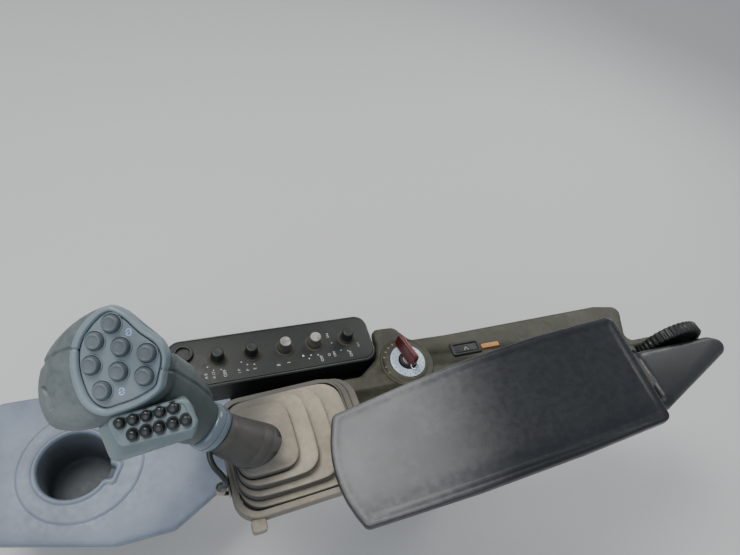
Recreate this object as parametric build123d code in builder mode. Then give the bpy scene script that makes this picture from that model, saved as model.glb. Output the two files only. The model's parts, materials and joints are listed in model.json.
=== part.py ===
from build123d import *
import os
from math import cos, sin, tan, radians

os.makedirs("parts", exist_ok=True)

# Right-hand operator's console of a machine cab. +X points to the rear of the cab, +Y outboard
# to the window, +Z up. The origin is the centre of the bolt pattern, on the mounting face.

# base and column
base_l, base_w, base_t, base_r = 200.0, 132.0, 6.0, 14.0
bolt_x, bolt_y, bolt_d = 160.0, 92.0, 11.0
column_l, column_w, column_wall, column_r = 76.0, 56.0, 3.0, 6.0
gusset_h, gusset_l, gusset_t = 60.0, 36.0, 5.0

# pod: a thin moulded top on the column's head plate
pod_top, pod_depth, pod_wall, pod_draft = 285.0, 36.0, 3.5, 14.0
pod_front, pod_rear = -300.0, 336.0
pod_in, pod_in_rear, pod_out, tail_out = -92.0, -102.0, 21.0, 2.0
pod_corner = 7.0
pod_points = (
    (pod_front, pod_in), (pod_front, pod_out), (-150, pod_out), (-131, 46), (-129, 77),
    (-97, 74.5), (-84, 51), (190, 59), (233, 53), (208, tail_out),
    (316, tail_out),
    (pod_rear, -40), (205, -97), (30, pod_in_rear), (-50, pod_in),
)
head_t, head_rear, head_edge, head_out, plate_r = 4.0, 150.0, 12.0, 30.0, 4.5
arm_front, arm_in, arm_out, arm_root = -290.0, -80.0, 4.0, 20.0
seat_z = pod_top - pod_wall
head_z = seat_z - head_t

# lock at the pod's bulge
lock_x, lock_y = -100.0, 25.0
boss_r, boss_h = 28.0, 2.4
label_r, label_t = 20.0, 1.6
barrel_r, barrel_h, barrel_depth = 9.8, 4.5, 24.0
lock_fit = 0.3
slot_w, slot_l = 2.6, 8.6
key_head_w, key_head_h, key_head_t, key_neck, key_side = 31.0, 19.0, 5.5, 1.5, 8.5
key_hole, key_turn = 2.0, 106.0

# small fittings on the pod
blank_x, blank_y, blank_l, blank_w, blank_h, blank_rim = -23.0, 29.0, 38.0, 17.0, 2.4, 2.5
lamp_x, lamp_y, lamp_l, lamp_w, lamp_h = 9.5, 27.0, 24.0, 6.0, 2.6

# switch box
box_front, box_rear, box_in, box_out = -350.0, -132.0, 35.5, 94.0
box_proud, box_depth, box_wall, box_corner, box_foot = 3.0, 39.0, 3.0, 14.0, 5.0
fascia_t, fascia_fit = 2.4, 0.2
knob_xs = (-301.0, -266.5, -231.0, -198.0, -161.0)
knob_y, knob_r, knob_skirt_r, knob_h, skirt_h = 66.0, 5.6, 8.2, 14.0, 3.0
socket_x, socket_y, socket_r, socket_h, socket_bore = -334.0, 76.0, 10.0, 4.0, 7.0
rail_t, rail_front, rail_rear, rail_in, rail_out = 4.0, -292.0, -140.0, -7.0, 86.0

# boot: stepped bands from the skirt up to the sleeve
boot_yaw, boot_wall = 3.0, 3.0
boot_x, boot_y, base_band_l, base_band_w, base_band_h = -245.5, -41.0, 115.0, 101.0, 16.0
frame_front, frame_back, frame_side, frame_h, frame_r, frame_fit = 6.5, 20.0, 7.0, 13.0, 22.0, 0.3
lug_back, lug_l, lug_w, lug_h = 17.0, 13.0, 9.5, 9.0
# each band against the base band: shift in x and y, smaller length and width, upper edge
band_steps = (
    (0.0, 0.0, 0.0, 0.0, base_band_h), (-8.8, 0.0, 16.5, 11.0, 26.0),
    (-18.0, 0.5, 36.0, 22.0, 36.0), (-27.3, -2.0, 56.5, 39.0, 46.0),
)
mouth_x, mouth_y, mouth_l, mouth_w, mouth_up, mouth_tilt = -283.0, -48.5, 38.0, 38.0, 52.0, 0.6
band_r, band_step, groove_h = 20.0, 2.2, 1.4

# stick: gimbal under the boot, then a cranked shaft
pivot_drop, crank_rise = 22.0, 49.0
pivot_x, pivot_y, pivot_z = -248.0, -41.0, pod_top - pivot_drop
crank_x, crank_y, crank_z = -278.0, -51.0, pod_top + crank_rise
lean_x, lean_y, lean_z = -0.707, 0.333, 0.626
shaft_r = 6.5
sleeve_from, sleeve_to = -13.0, 40.0
sleeve_r0, sleeve_r1, sleeve_bore = 22.0, 16.0, 15.0
sleeve_seat = 0.4
collar_l, collar_r = 11.0, 18.5
ring_ro, ring_ri, ring_h = 21.5, 15.5, 11.0
pin_r, pin_fit, pin_reach = 3.5, 0.15, 29.0
ball_r = 10.0
housing_l, housing_w, housing_depth, housing_base, well_r = 66.0, 64.0, 27.0, 5.0, 25.5
plate_ease = 4.0
pod_hole_l, pod_hole_w = 106.0, 82.0

# grip head, drawn in the plane of its button face
head_x, head_y, head_rise = -382.0, -3.0, 140.0
face_turn, face_tilt, face_roll = 32.0, 48.9, 18.5
face_lift, face_recess, panel_t, panel_fit = 18.0, 2.0, 1.4, 0.25
button_r, button_h, rim_r, rim_h = 5.3, 4.6, 6.5, 1.0
button_at = ((7.3, 29.0), (-3.9, 17.1), (13.9, 13.1), (31.7, 9.0),
             (-6.2, 0.6), (12.4, -3.6), (30.1, -6.7), (1.3, -16.6))
pad_lift = 14.0
dome_r = 4.2
dome_step_x, dome_step_y = 9.35, 2.5
dome_rows = ((12.6, -39.8), (21.4, -48.2))

# armrest, hinged at its rear
arm_slope = 16.2
front_x, front_rise, rest_y = -211.2, 49.5, -83.0
rest_l, rest_t, rest_r, rest_bow = 290.0, 18.0, 7.0, 11.0
# pad's outline from its front: outboard side to the rear, then back along the inboard side
rest_points = ((0, 46), (60, 51.5), (125, 57), (205, 59.5), (rest_l, 55.5),
               (284, -54), (200, -57.5), (100, -58.5), (2, -56))
dish_r, dish_depth, dish_past = 330.0, 3.0, 30.0
hinge_past, hinge_under, hinge_y = 17.7, 56.6, -70.0
hinge_r, hinge_fit, knuckle_r = 5.0, 0.2, 11.0
blade_w, blade_t, blade_start, blade_short = 30.0, 6.0, 33.0, 4.0
ear_t, ear_gap, ear_front, ear_back, ear_web = 5.0, 31.0, 38.0, 36.0, 14.0
foot_margin, foot_edge, foot_t = 4.0, 2.0, 4.0
head_r, pin_head = 8.0, 4.0

# rear cover and ribbed wheel
cover_points = ((158, -40), (292, -33), (308, -41), (304, -55), (172, -104), (158, -98))
cover_h, cover_corner, cover_round, cover_lean = 37.0, 10.0, 6.5, 2.0
wheel_x, wheel_y, wheel_rise, wheel_r, wheel_t = 250.0, -20.0, 11.0, 42.0, 14.0
wheel_ribs, rib_r, wheel_edge, wheel_gap, axle_r, axle_l = 40, 1.7, 1.5, 1.5, 9.0, 22.0

# tray with cup well
tray_top, tray_wall, tray_skirt = 120.0, 3.5, 26.0
tray_front, tray_rear, tray_in, tray_out = -555.0, -262.0, -44.0, 150.0
cup_x, cup_y, cup_r, cup_depth = -463.5, 53.5, 38.0, 72.0
cup_lip, lip_h, dish_ro = 6.0, 3.5, 69.0
notch_reach, notch_w, notch_turn = 52.0, 17.0, -14.0
stay_t, stay_w, stay_y, stay_front, stay_wide = 6.0, 40.0, 46.0, -408.0, 100.0
stay_bend, stay_taper, stay_foot = -320.0, -340.0, 12.0

stop_ahead, stop_below, stop_r = 28.0, 6.0, 5.0
part_reach, part_side, part_up = 90.0, 120.0, 50.0
part_line = ((-part_reach, -12), (-57, -3), (-26, 9), (36, -9), (57, -33), (67, -48),
             (part_reach, -part_reach))
notch_depth = 46.0

# grip cable and its clip
cable_r, cable_seat = 2.4, 0.8
cable_steps = ((5, -10, 47), (-1, -8, 27), (0, 0, 12), (0, 0, -2), (5, 0, -13), (15, 2, -19))
clip_out, clip_side, clip_w, clip_t, clip_fit, clip_gap, clip_up = 7.7, -21.3, 9.0, 1.5, 0.8, 0.4, 4.8


def edge_loop(points, radius, at):
    """Closed outline with rounded corners on a plane."""
    with BuildSketch(at) as loop:
        with BuildLine():
            Polyline(*points, close=True)
        make_face()
        fillet(loop.vertices(), radius)
    return loop.sketch


def axis_point(along):
    return (crank_x + lean_x * along, crank_y + lean_y * along, crank_z + lean_z * along)


def axis_plane(along):
    return Plane(origin=axis_point(along), z_dir=(lean_x, lean_y, lean_z))


def face_plane(lift):
    a, e, r = radians(face_turn), radians(face_tilt), radians(face_roll)
    into = Vector(sin(a) * cos(e), cos(a) * cos(e), -sin(e))
    level = Vector(cos(a), -sin(a), 0)
    up = level.cross(into)
    across = level * cos(r) + up * sin(r)
    at = Vector(head_x, head_y, pod_top + head_rise) - into * lift
    return Plane(origin=at, x_dir=across, z_dir=-into)


def save(piece, label):
    piece.part.label = label
    export_step(piece.part, f"parts/{label}.step")


# floor plate
with BuildPart() as base_plate:
    with BuildSketch():
        RectangleRounded(base_l, base_w, base_r)
    extrude(amount=base_t)
    with GridLocations(bolt_x, bolt_y, 2, 2):
        Hole(bolt_d / 2)
save(base_plate, "base_plate")

# square tube with gussets
with BuildPart() as column:
    with BuildSketch(Plane.XY.offset(base_t)):
        RectangleRounded(column_l, column_w, column_r)
        RectangleRounded(column_l - 2 * column_wall, column_w - 2 * column_wall,
                         column_r - column_wall, mode=Mode.SUBTRACT)
    extrude(amount=head_z - base_t)
    with BuildSketch(Plane.XZ.offset(-gusset_t / 2)):
        with BuildLine():
            Polyline((column_l / 2 - 1, base_t), (column_l / 2 + gusset_l, base_t),
                     (column_l / 2 + gusset_l, base_t + 8), (column_l / 2 - 1, base_t + gusset_h),
                     close=True)
        make_face()
        mirror(about=Plane.YZ)
    extrude(amount=gusset_t)
save(column, "column")

# head plate: carries the pod at the rear and the joystick on its forward arm
head_in = pod_in_rear + head_edge
with BuildPart() as head_plate:
    with BuildSketch(Plane.XY.offset(head_z)) as outline:
        with BuildLine():
            Polyline((head_rear, head_in), (head_rear, head_out), (arm_root, head_out),
                     (arm_root, arm_out), (arm_front, arm_out), (arm_front, arm_in),
                     (arm_root, arm_in), (arm_root, head_in), close=True)
        make_face()
        fillet(outline.vertices(), plate_r)
        with Locations((pivot_x, pivot_y)):
            Circle(well_r + plate_ease, mode=Mode.SUBTRACT)
    extrude(amount=head_t)
save(head_plate, "head_plate")


def inset(points, amount):
    """The same corners, moved inwards by one distance from both their edges."""
    moved = []
    for i, (x, y) in enumerate(points):
        before, after = Vector(*points[i - 1]), Vector(*points[(i + 1) % len(points)])
        here = Vector(x, y)
        n1 = (here - before).normalized().rotate(Axis.Z, pod_side)
        n2 = (after - here).normalized().rotate(Axis.Z, pod_side)
        corner = here + (n1 + n2) * (amount / (1 + n1.dot(n2)))
        moved.append((corner.X, corner.Y))
    return moved


pod_side = -90  # the outline runs clockwise seen from above
pod_lean = pod_depth * tan(radians(pod_draft))

# pod shell, open below
with BuildPart() as pod_shell:
    add(edge_loop(pod_points, pod_corner, Plane.XY.offset(pod_top)))
    add(edge_loop(inset(pod_points, pod_lean), pod_corner, Plane.XY.offset(pod_top - pod_depth)))
    loft(ruled=True)
    inner_top, inner_low = pod_wall + 1, pod_wall + pod_lean
    add(edge_loop(inset(pod_points, inner_top), pod_corner, Plane.XY.offset(seat_z)))
    add(edge_loop(inset(pod_points, inner_low), pod_corner, Plane.XY.offset(pod_top - pod_depth)))
    loft(ruled=True, mode=Mode.SUBTRACT)
    with BuildSketch(Plane.XY.offset(pod_top)):
        with Locations((lock_x, lock_y)):
            Circle(boss_r)
    extrude(amount=boss_h)
    with BuildSketch(Plane.XY.offset(seat_z - 1)):
        with Locations((pivot_x, pivot_y)):
            RectangleRounded(pod_hole_l, pod_hole_w, 16)
        with Locations((lock_x, lock_y)):
            Circle(barrel_r + lock_fit)
    extrude(amount=pod_wall + boss_h + 2, mode=Mode.SUBTRACT)
    with Locations((wheel_x, wheel_y, pod_top)):
        Box(2 * (wheel_r + wheel_gap), wheel_t + 2 * wheel_gap, 4 * pod_wall, mode=Mode.SUBTRACT)
save(pod_shell, "pod_shell")

boss_z = pod_top + boss_h

# lock: label ring, barrel and key
with BuildPart() as key_label:
    with BuildSketch(Plane.XY.offset(boss_z)):
        with Locations((lock_x, lock_y)):
            Circle(label_r)
            Circle(barrel_r + lock_fit, mode=Mode.SUBTRACT)
    extrude(amount=label_t)
save(key_label, "key_label")

with BuildPart() as lock_barrel:
    with BuildSketch(Plane.XY.offset(boss_z - barrel_depth)):
        with Locations((lock_x, lock_y)):
            Circle(barrel_r)
    extrude(amount=barrel_depth + barrel_h)
    chamfer(lock_barrel.edges().sort_by(Axis.Z)[-1], 1.2)
    with BuildSketch(Plane.XY.offset(boss_z + barrel_h)):
        with Locations(Location((lock_x, lock_y, 0), (0, 0, key_turn))):
            Rectangle(slot_l, slot_w)
    extrude(amount=-barrel_depth + 6, mode=Mode.SUBTRACT)
save(lock_barrel, "lock_barrel")

key_base = boss_z + barrel_h
key_plane = Plane(origin=(lock_x, lock_y, key_base),
                  x_dir=(cos(radians(key_turn)), sin(radians(key_turn)), 0),
                  z_dir=(sin(radians(key_turn)), -cos(radians(key_turn)), 0))
with BuildPart() as key:
    with BuildSketch(key_plane):
        with Locations((key_side, key_neck + key_head_h / 2)):
            RectangleRounded(key_head_w, key_head_h, 4)
        with Locations((0, key_neck / 2 + 1)):
            Rectangle(slot_l, key_neck + 2)
        with Locations((key_side + key_head_w / 2 - 2.5 * key_hole, key_neck + key_head_h / 2)):
            Circle(key_hole, mode=Mode.SUBTRACT)
    extrude(amount=key_head_t / 2, both=True)
    with BuildSketch(key_plane):
        with Locations((0, -barrel_depth / 2 + 5)):
            Rectangle(slot_l - 0.6, barrel_depth - 10)
    extrude(amount=slot_w / 2 - 0.3, both=True)
save(key, "key")

# blank switch plate and indicator bar
with BuildPart() as blank_plate:
    with BuildSketch(Plane.XY.offset(pod_top)):
        with Locations((blank_x, blank_y)):
            RectangleRounded(blank_l, blank_w, 2.5)
    extrude(amount=blank_h)
    with BuildSketch(Plane.XY.offset(pod_top + blank_h)):
        with Locations((blank_x, blank_y)):
            RectangleRounded(blank_l - 2 * blank_rim, blank_w - 2 * blank_rim, 1.5)
    extrude(amount=-1.2, mode=Mode.SUBTRACT)
save(blank_plate, "blank_plate")

with BuildPart() as indicator_bar:
    with BuildSketch(Plane.XY.offset(pod_top)):
        with Locations((lamp_x, lamp_y)):
            RectangleRounded(lamp_l, lamp_w, 1.5)
    extrude(amount=lamp_h)
    fillet(indicator_bar.edges().group_by(Axis.Z)[-1], 0.8)
save(indicator_bar, "indicator_bar")

# switch box with its fascia let into the rim
box_top = pod_top + box_proud
box_bottom = box_top - box_depth
box_l, box_w = box_rear - box_front, box_out - box_in
box_x, box_y = (box_rear + box_front) / 2, (box_out + box_in) / 2
with BuildPart() as switch_box:
    with BuildSketch(Plane.XY.offset(box_bottom)):
        with Locations((box_x, box_y)):
            RectangleRounded(box_l, box_w, box_corner)
    extrude(amount=box_top - box_bottom)
    fillet(switch_box.edges().group_by(Axis.Z)[0], box_foot)
    with BuildSketch(Plane.XY.offset(box_bottom + box_wall)):
        with Locations((box_x, box_y)):
            RectangleRounded(box_l - 4 * box_wall, box_w - 4 * box_wall, box_corner - 2 * box_wall)
    extrude(amount=box_top - box_bottom, mode=Mode.SUBTRACT)
    with BuildSketch(Plane.XY.offset(box_top - fascia_t)):
        with Locations((box_x, box_y)):
            RectangleRounded(box_l - box_wall, box_w - box_wall, box_corner - box_wall / 2)
    extrude(amount=fascia_t + 1, mode=Mode.SUBTRACT)
save(switch_box, "switch_box")

with BuildPart() as switch_fascia:
    with BuildSketch(Plane.XY.offset(box_top - fascia_t)):
        with Locations((box_x, box_y)):
            RectangleRounded(box_l - box_wall - 2 * fascia_fit, box_w - box_wall - 2 * fascia_fit,
                             box_corner - box_wall / 2 - fascia_fit)
    extrude(amount=fascia_t)
save(switch_fascia, "switch_fascia")

with BuildPart() as panel_knobs:
    with Locations(*[(x, knob_y, box_top) for x in knob_xs]):
        Cylinder(knob_skirt_r, skirt_h, align=(Align.CENTER, Align.CENTER, Align.MIN))
        Cone(knob_r + 0.6, knob_r, knob_h, align=(Align.CENTER, Align.CENTER, Align.MIN))
    chamfer(panel_knobs.edges().group_by(Axis.Z)[-1], 0.8)
save(panel_knobs, "panel_knobs")

with BuildPart() as power_socket:
    with BuildSketch(Plane.XY.offset(box_top)):
        with Locations((socket_x, socket_y)):
            Circle(socket_r)
    extrude(amount=socket_h)
    fillet(power_socket.edges().group_by(Axis.Z)[-1], 1.2)
    with Locations((socket_x, socket_y, box_top + socket_h)):
        Hole(socket_bore, depth=socket_h - 1)
save(power_socket, "power_socket")

# rail under the pod's edge that carries the switch box
with BuildPart() as box_rail:
    with BuildSketch(Plane.XY.offset(box_bottom - rail_t)):
        with Locations(((rail_front + rail_rear) / 2, (rail_in + rail_out) / 2)):
            RectangleRounded(rail_rear - rail_front, rail_out - rail_in, 6)
    extrude(amount=rail_t)
save(box_rail, "box_rail")


def band_loop(x, y, length, width, z, inset=0.0):
    """One rounded ring of the boot, turned with it."""
    corner = min(band_r, (min(length, width) - 2 * inset) / 2 - 1)
    with BuildSketch(Plane.XY.offset(pod_top + z)) as loop:
        with Locations(Location((x, y, 0), (0, 0, boot_yaw))):
            RectangleRounded(length - 2 * inset, width - 2 * inset, corner)
    return loop.sketch


bands = []
for x, y, less_l, less_w, upper in band_steps:
    lower = bands[-1][5] if bands else 0.0
    bands.append((boot_x + x, boot_y + y, base_band_l - less_l, base_band_w - less_w, lower, upper))
mouth_at = Plane(origin=(mouth_x, mouth_y, pod_top + mouth_up),
                 z_dir=(lean_x * mouth_tilt, lean_y * mouth_tilt, 1))


def bellows(shrink, sink):
    """Stack of tapered bands, each standing on a narrower neck; the last leans with the stick."""
    with BuildPart() as stack:
        for band, above in zip(bands, bands[1:]):
            x, y, length, width, low, high = band
            neck = (*above[:4], high - groove_h - sink, shrink + band_step)
            add(band_loop(x, y, length, width, low - sink, shrink))
            add(band_loop(*neck))
            loft(ruled=True)
            add(band_loop(*neck))
            extrude(amount=groove_h)
        x, y, length, width, low, high = bands[-1]
        add(band_loop(x, y, length, width, low - sink, shrink))
        with BuildSketch(mouth_at.offset(sink)):
            RectangleRounded(mouth_l - 2 * shrink, mouth_w - 2 * shrink, mouth_w / 2 - shrink - 1)
        loft(ruled=True)
    return stack.part


# boot's clamping frame with the lug near its inboard front corner
frame_at = Plane(origin=(boot_x, boot_y, pod_top),
                 x_dir=(cos(radians(boot_yaw)), sin(radians(boot_yaw)), 0), z_dir=(0, 0, 1))
frame_l = base_band_l + frame_front + frame_back
frame_w = base_band_w + 2 * frame_side
frame_from = -base_band_l / 2 - frame_front
with BuildPart() as boot_frame:
    with BuildSketch(frame_at):
        with Locations(((frame_back - frame_front) / 2, 0)):
            RectangleRounded(frame_l, frame_w, frame_r)
        RectangleRounded(base_band_l + 2 * frame_fit, base_band_w + 2 * frame_fit,
                         band_r + frame_fit, mode=Mode.SUBTRACT)
    extrude(amount=frame_h)
    chamfer(boot_frame.edges().group_by(Axis.Z)[-1], 1.2)
    with BuildSketch(frame_at):
        with Locations((frame_from + lug_back, -frame_w / 2)):
            RectangleRounded(lug_l, 2 * lug_w, 3)
        RectangleRounded(base_band_l + 2, base_band_w + 2, band_r, mode=Mode.SUBTRACT)
    extrude(amount=lug_h)
save(boot_frame, "boot_frame")

# rubber boot, open below and at its mouth
boot_outside, boot_inside = bellows(0.0, 0.0), bellows(boot_wall, 1.0)
with BuildPart() as boot:
    add(boot_outside)
    add(boot_inside, mode=Mode.SUBTRACT)
save(boot, "boot")

# joystick housing under the head plate
housing_floor = pivot_z - housing_depth
well_floor = housing_floor + housing_base
with BuildPart() as joystick_housing:
    with BuildSketch(Plane.XY.offset(housing_floor)):
        with Locations((pivot_x, pivot_y)):
            RectangleRounded(housing_l, housing_w, 8)
    extrude(amount=head_z - housing_floor)
    with BuildSketch(Plane.XY.offset(well_floor)):
        with Locations((pivot_x, pivot_y)):
            Circle(well_r)
    extrude(amount=head_z - well_floor, mode=Mode.SUBTRACT)
    with Locations(Location((pivot_x, pivot_y, pivot_z), (90, 0, 0))):
        Hole(pin_r + pin_fit)
save(joystick_housing, "joystick_housing")

# gimbal ring with its cross pins along Y
with BuildPart() as gimbal_ring:
    with Locations((pivot_x, pivot_y, pivot_z)):
        Cylinder(ring_ro, ring_h)
        Cylinder(ring_ri, ring_h, mode=Mode.SUBTRACT)
    for side in (-1, 1):
        with Locations(Location((pivot_x, pivot_y + side * (ring_ri + pin_reach) / 2, pivot_z),
                                (90, 0, 0))):
            Cylinder(pin_r, pin_reach - ring_ri - 1)
    with Locations(Location((pivot_x, pivot_y, pivot_z), (0, 90, 0))):
        Hole(pin_r + pin_fit)
save(gimbal_ring, "gimbal_ring")

# shaft with its ball and pins along X
with BuildPart() as stick_shaft:
    with BuildLine():
        FilletPolyline((pivot_x, pivot_y, pivot_z), (crank_x, crank_y, crank_z),
                       axis_point(sleeve_to + collar_l), radius=14)
    with BuildSketch(Plane(origin=(pivot_x, pivot_y, pivot_z),
                           z_dir=(crank_x - pivot_x, crank_y - pivot_y, crank_z - pivot_z))):
        Circle(shaft_r)
    sweep()
    with Locations((pivot_x, pivot_y, pivot_z)):
        Sphere(ball_r)
    with Locations(Location((pivot_x, pivot_y, pivot_z), (0, 90, 0))):
        Cylinder(pin_r, 2 * ring_ro - 1)
save(stick_shaft, "stick_shaft")

# rubber sleeve, cut level where it stands on the boot
sleeve_l = sleeve_to - sleeve_from
with BuildPart(axis_plane(sleeve_from + sleeve_l / 2)) as sleeve:
    Cone(sleeve_r0, sleeve_r1, sleeve_l)
    with Locations((0, 0, -3)):
        Cone(sleeve_bore + 3, sleeve_bore - 4, sleeve_l - 3, mode=Mode.SUBTRACT)
    Cylinder(shaft_r, sleeve_l + 2, mode=Mode.SUBTRACT)
    split(bisect_by=mouth_at.offset(sleeve_seat), keep=Keep.TOP)
save(sleeve, "sleeve")

with BuildPart(axis_plane(sleeve_to + collar_l / 2)) as collar:
    Cylinder(collar_r, collar_l)
    fillet(collar.edges(), 2.5)
    Cylinder(shaft_r, collar_l + 2, mode=Mode.SUBTRACT)
save(collar, "collar")

# hand grip: flared neck, bulbous head and the keypad's pedestal
neck_from = sleeve_to + collar_l
face_up = face_plane(0).y_dir
grip_dir = Vector(lean_x, lean_y, lean_z)
neck_up = face_up - grip_dir * face_up.dot(grip_dir)


def neck_plane(along):
    return Plane(origin=axis_point(along), x_dir=neck_up, z_dir=grip_dir)


neck_rings = ((neck_from, 17.6, 17.6), (60, 20.7, 20.0), (80, 26.0, 23.5), (106, 29.0, 26.0))
head_rings = (
    (-34.0, 10.0, ((2, 20), (24, 6), (26, -14), (2, -28), (-24, -26), (-30, -6), (-18, 14))),
    (-17.0, 14.0, ((0, 38), (37, 14), (41, -18), (0, -44), (-41, -42), (-50, -8), (-30, 26))),
    (3.0, 13.0, ((-2, 43), (41, 17), (44, -20), (-2, -47), (-45, -47), (-55, -9), (-35, 27))),
    (face_lift, 7.0, ((5, 43), (44, 17), (41.5, -19), (0, -32), (-12, -21), (-19.5, -3), (-18, 19))),
)
pedestal_rings = (
    (-16.0, 8.0, ((-4, -30), (50, -14), (58, -40), (4, -56))),
    (2.0, 8.0, ((-11, -41), (56, -20), (68, -52), (4, -71))),
    (pad_lift, 5.0, ((0, -35), (55.5, -21), (65, -44), (13, -57))),
)
face_points = ((6, 38), (40, 15), (38, -16), (0.2, -28), (-15, -3), (-13.5, 18))

with BuildPart() as grip:
    with BuildSketch(neck_plane(neck_from)):
        Circle(neck_rings[0][1])
    for along, half_up, half_deep in neck_rings[1:]:
        with BuildSketch(neck_plane(along)):
            Ellipse(half_up, half_deep)
    loft()
    for lift, corner, points in head_rings:
        add(edge_loop(points, corner, face_plane(lift)))
    loft()
    for lift, corner, points in pedestal_rings:
        add(edge_loop(points, corner, face_plane(lift)))
    loft(ruled=True)
    add(edge_loop(face_points, 4, face_plane(face_lift)))
    extrude(amount=-face_recess, dir=face_plane(0).z_dir, mode=Mode.SUBTRACT)
    with BuildSketch(face_plane(40)):
        with Locations(Location((-47, -26, 0), (0, 0, 80))):
            SlotOverall(12, 4)
    extrude(amount=-44, mode=Mode.SUBTRACT)

# the two mouldings of the grip meet on a line that runs round under the button face
with BuildPart() as outer_half:
    with BuildSketch(face_plane(-part_reach)):
        with BuildLine():
            Polyline(*part_line, (part_side, -part_reach), (part_side, part_reach),
                     (-part_reach, part_reach), close=True)
        make_face()
    extrude(amount=part_reach + part_up)
for label, how in (("grip_outer", Mode.INTERSECT), ("grip_inner", Mode.SUBTRACT)):
    with BuildPart() as half:
        add(grip.part)
        add(outer_half.part, mode=how)
    print(label, half.part.is_valid, len(half.solids()))
    save(half, label)

with BuildPart() as face_panel:
    with BuildSketch(face_plane(face_lift - face_recess)):
        add(edge_loop(face_points, 4, Plane.XY))
        offset(amount=-panel_fit, mode=Mode.REPLACE)
    extrude(amount=panel_t)
save(face_panel, "face_panel")

# round buttons, each with its rim
panel_top = face_plane(face_lift - face_recess + panel_t)
with BuildPart(panel_top) as face_buttons:
    with Locations(*button_at):
        Cylinder(rim_r, rim_h, align=(Align.CENTER, Align.CENTER, Align.MIN))
        Cylinder(button_r, button_h, align=(Align.CENTER, Align.CENTER, Align.MIN))
save(face_buttons, "face_buttons")

dome_at = [(x + i * dome_step_x, y + i * dome_step_y) for x, y in dome_rows for i in range(5)]
with BuildPart(face_plane(pad_lift)) as keypad_domes:
    with Locations(*dome_at):
        Sphere(dome_r, arc_size1=0, align=(Align.CENTER, Align.CENTER, Align.MIN))
save(keypad_domes, "keypad_domes")

# armrest: pad on a steel blade that swings on a pin
slope = radians(arm_slope)
front_z = pod_top + front_rise


def rest_point(along, up):
    """A point of the armrest's side view from the pad's front, as X and Z."""
    return (front_x + along * cos(slope) - up * sin(slope),
            front_z + along * sin(slope) + up * cos(slope))


rest_top = Plane(origin=(front_x, rest_y, front_z), x_dir=(cos(slope), 0, sin(slope)),
                 z_dir=(-sin(slope), 0, cos(slope)))
hinge_x, hinge_z = rest_point(rest_l + hinge_past, -hinge_under)
with BuildPart() as armrest_pad:
    with BuildSketch(rest_top) as pad_outline:
        with BuildLine():
            corners = Polyline(*rest_points)
            ThreePointArc(corners @ 1, (-rest_bow, 0), corners @ 0)
        make_face()
        fillet(pad_outline.vertices(), rest_r)
    extrude(amount=-rest_t)
    fillet(armrest_pad.faces().filter_by(GeomType.PLANE).sort_by(Axis.Z)[-1].edges(), 5)
    with Locations(rest_top * Location((rest_l / 2, 0, dish_r - dish_depth), (0, 90, 0))):
        Cylinder(dish_r, rest_l + 2 * dish_past, mode=Mode.SUBTRACT)
save(armrest_pad, "armrest_pad")

# the blade lies under the pad and drops behind it to the hinge
hinge_along = rest_l + hinge_past
with BuildPart() as arm_blade:
    with BuildSketch(Plane.XZ.offset(-hinge_y - blade_w / 2)):
        with BuildLine():
            Polyline(*[rest_point(*p) for p in (
                (blade_start, -rest_t), (rest_l - blade_short, -rest_t),
                (hinge_along + knuckle_r * 0.75, -hinge_under + knuckle_r * 0.6),
                (hinge_along - knuckle_r * 0.6, -hinge_under - knuckle_r * 0.7),
                (hinge_along - 5 * knuckle_r, -rest_t - blade_t),
                (blade_start, -rest_t - blade_t))], close=True)
        make_face()
        with Locations((hinge_x, hinge_z)):
            Circle(knuckle_r)
            Circle(hinge_r + hinge_fit, mode=Mode.SUBTRACT)
    extrude(amount=blade_w)
save(arm_blade, "arm_blade")

# hinge bracket on the pod, with the bar that the blade rests on
stop_x, stop_z = hinge_x - stop_ahead, hinge_z - stop_below
foot_l, foot_w = ear_front + ear_back + 2 * foot_margin, ear_gap + 2 * ear_t + 2 * foot_edge
with BuildPart() as hinge_bracket:
    with BuildSketch(Plane.XY.offset(pod_top)):
        with Locations((hinge_x + (ear_back - ear_front) / 2, hinge_y)):
            RectangleRounded(foot_l, foot_w, 8)
    extrude(amount=foot_t)
    for side in (-1, 1):
        y = hinge_y + side * (ear_gap + ear_t) / 2
        with BuildSketch(Plane.XZ.offset(-y - ear_t / 2)):
            with BuildLine():
                Polyline((hinge_x - ear_front, pod_top + 1), (hinge_x + ear_back, pod_top + 1),
                         (hinge_x + ear_web, hinge_z), (hinge_x - ear_front + 2, hinge_z - 2),
                         close=True)
            make_face()
            with Locations((hinge_x, hinge_z)):
                Circle(knuckle_r + 3)
                Circle(hinge_r, mode=Mode.SUBTRACT)
        extrude(amount=ear_t)
    with Locations(Location((stop_x, hinge_y, stop_z), (90, 0, 0))):
        Cylinder(stop_r, ear_gap + 2)
save(hinge_bracket, "hinge_bracket")

with BuildPart() as hinge_pin:
    with Locations(Location((hinge_x, hinge_y, hinge_z), (90, 0, 0))):
        Cylinder(hinge_r, ear_gap + 2 * ear_t)
    for side in (-1, 1):
        with Locations(Location((hinge_x, hinge_y + side * (ear_gap + 2 * ear_t + pin_head) / 2,
                                 hinge_z), (90, 0, 0))):
            Cylinder(head_r, pin_head)
save(hinge_pin, "hinge_pin")

# rear cover and ribbed wheel
wheel_at = Plane(origin=(wheel_x, wheel_y, pod_top + wheel_rise), x_dir=(1, 0, 0), z_dir=(0, 1, 0))
with BuildPart() as rear_cover:
    add(edge_loop(cover_points, cover_corner, Plane.XY.offset(pod_top)))
    add(edge_loop(inset(cover_points, cover_lean), cover_corner - cover_lean,
                  Plane.XY.offset(pod_top + cover_h)))
    loft(ruled=True)
    fillet(rear_cover.edges().group_by(Axis.Z)[-1], cover_round)
    # stub that the wheel turns on
    with BuildSketch(wheel_at.offset(-wheel_t / 2 - axle_l)):
        Circle(axle_r)
    extrude(amount=axle_l)
save(rear_cover, "rear_cover")

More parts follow.
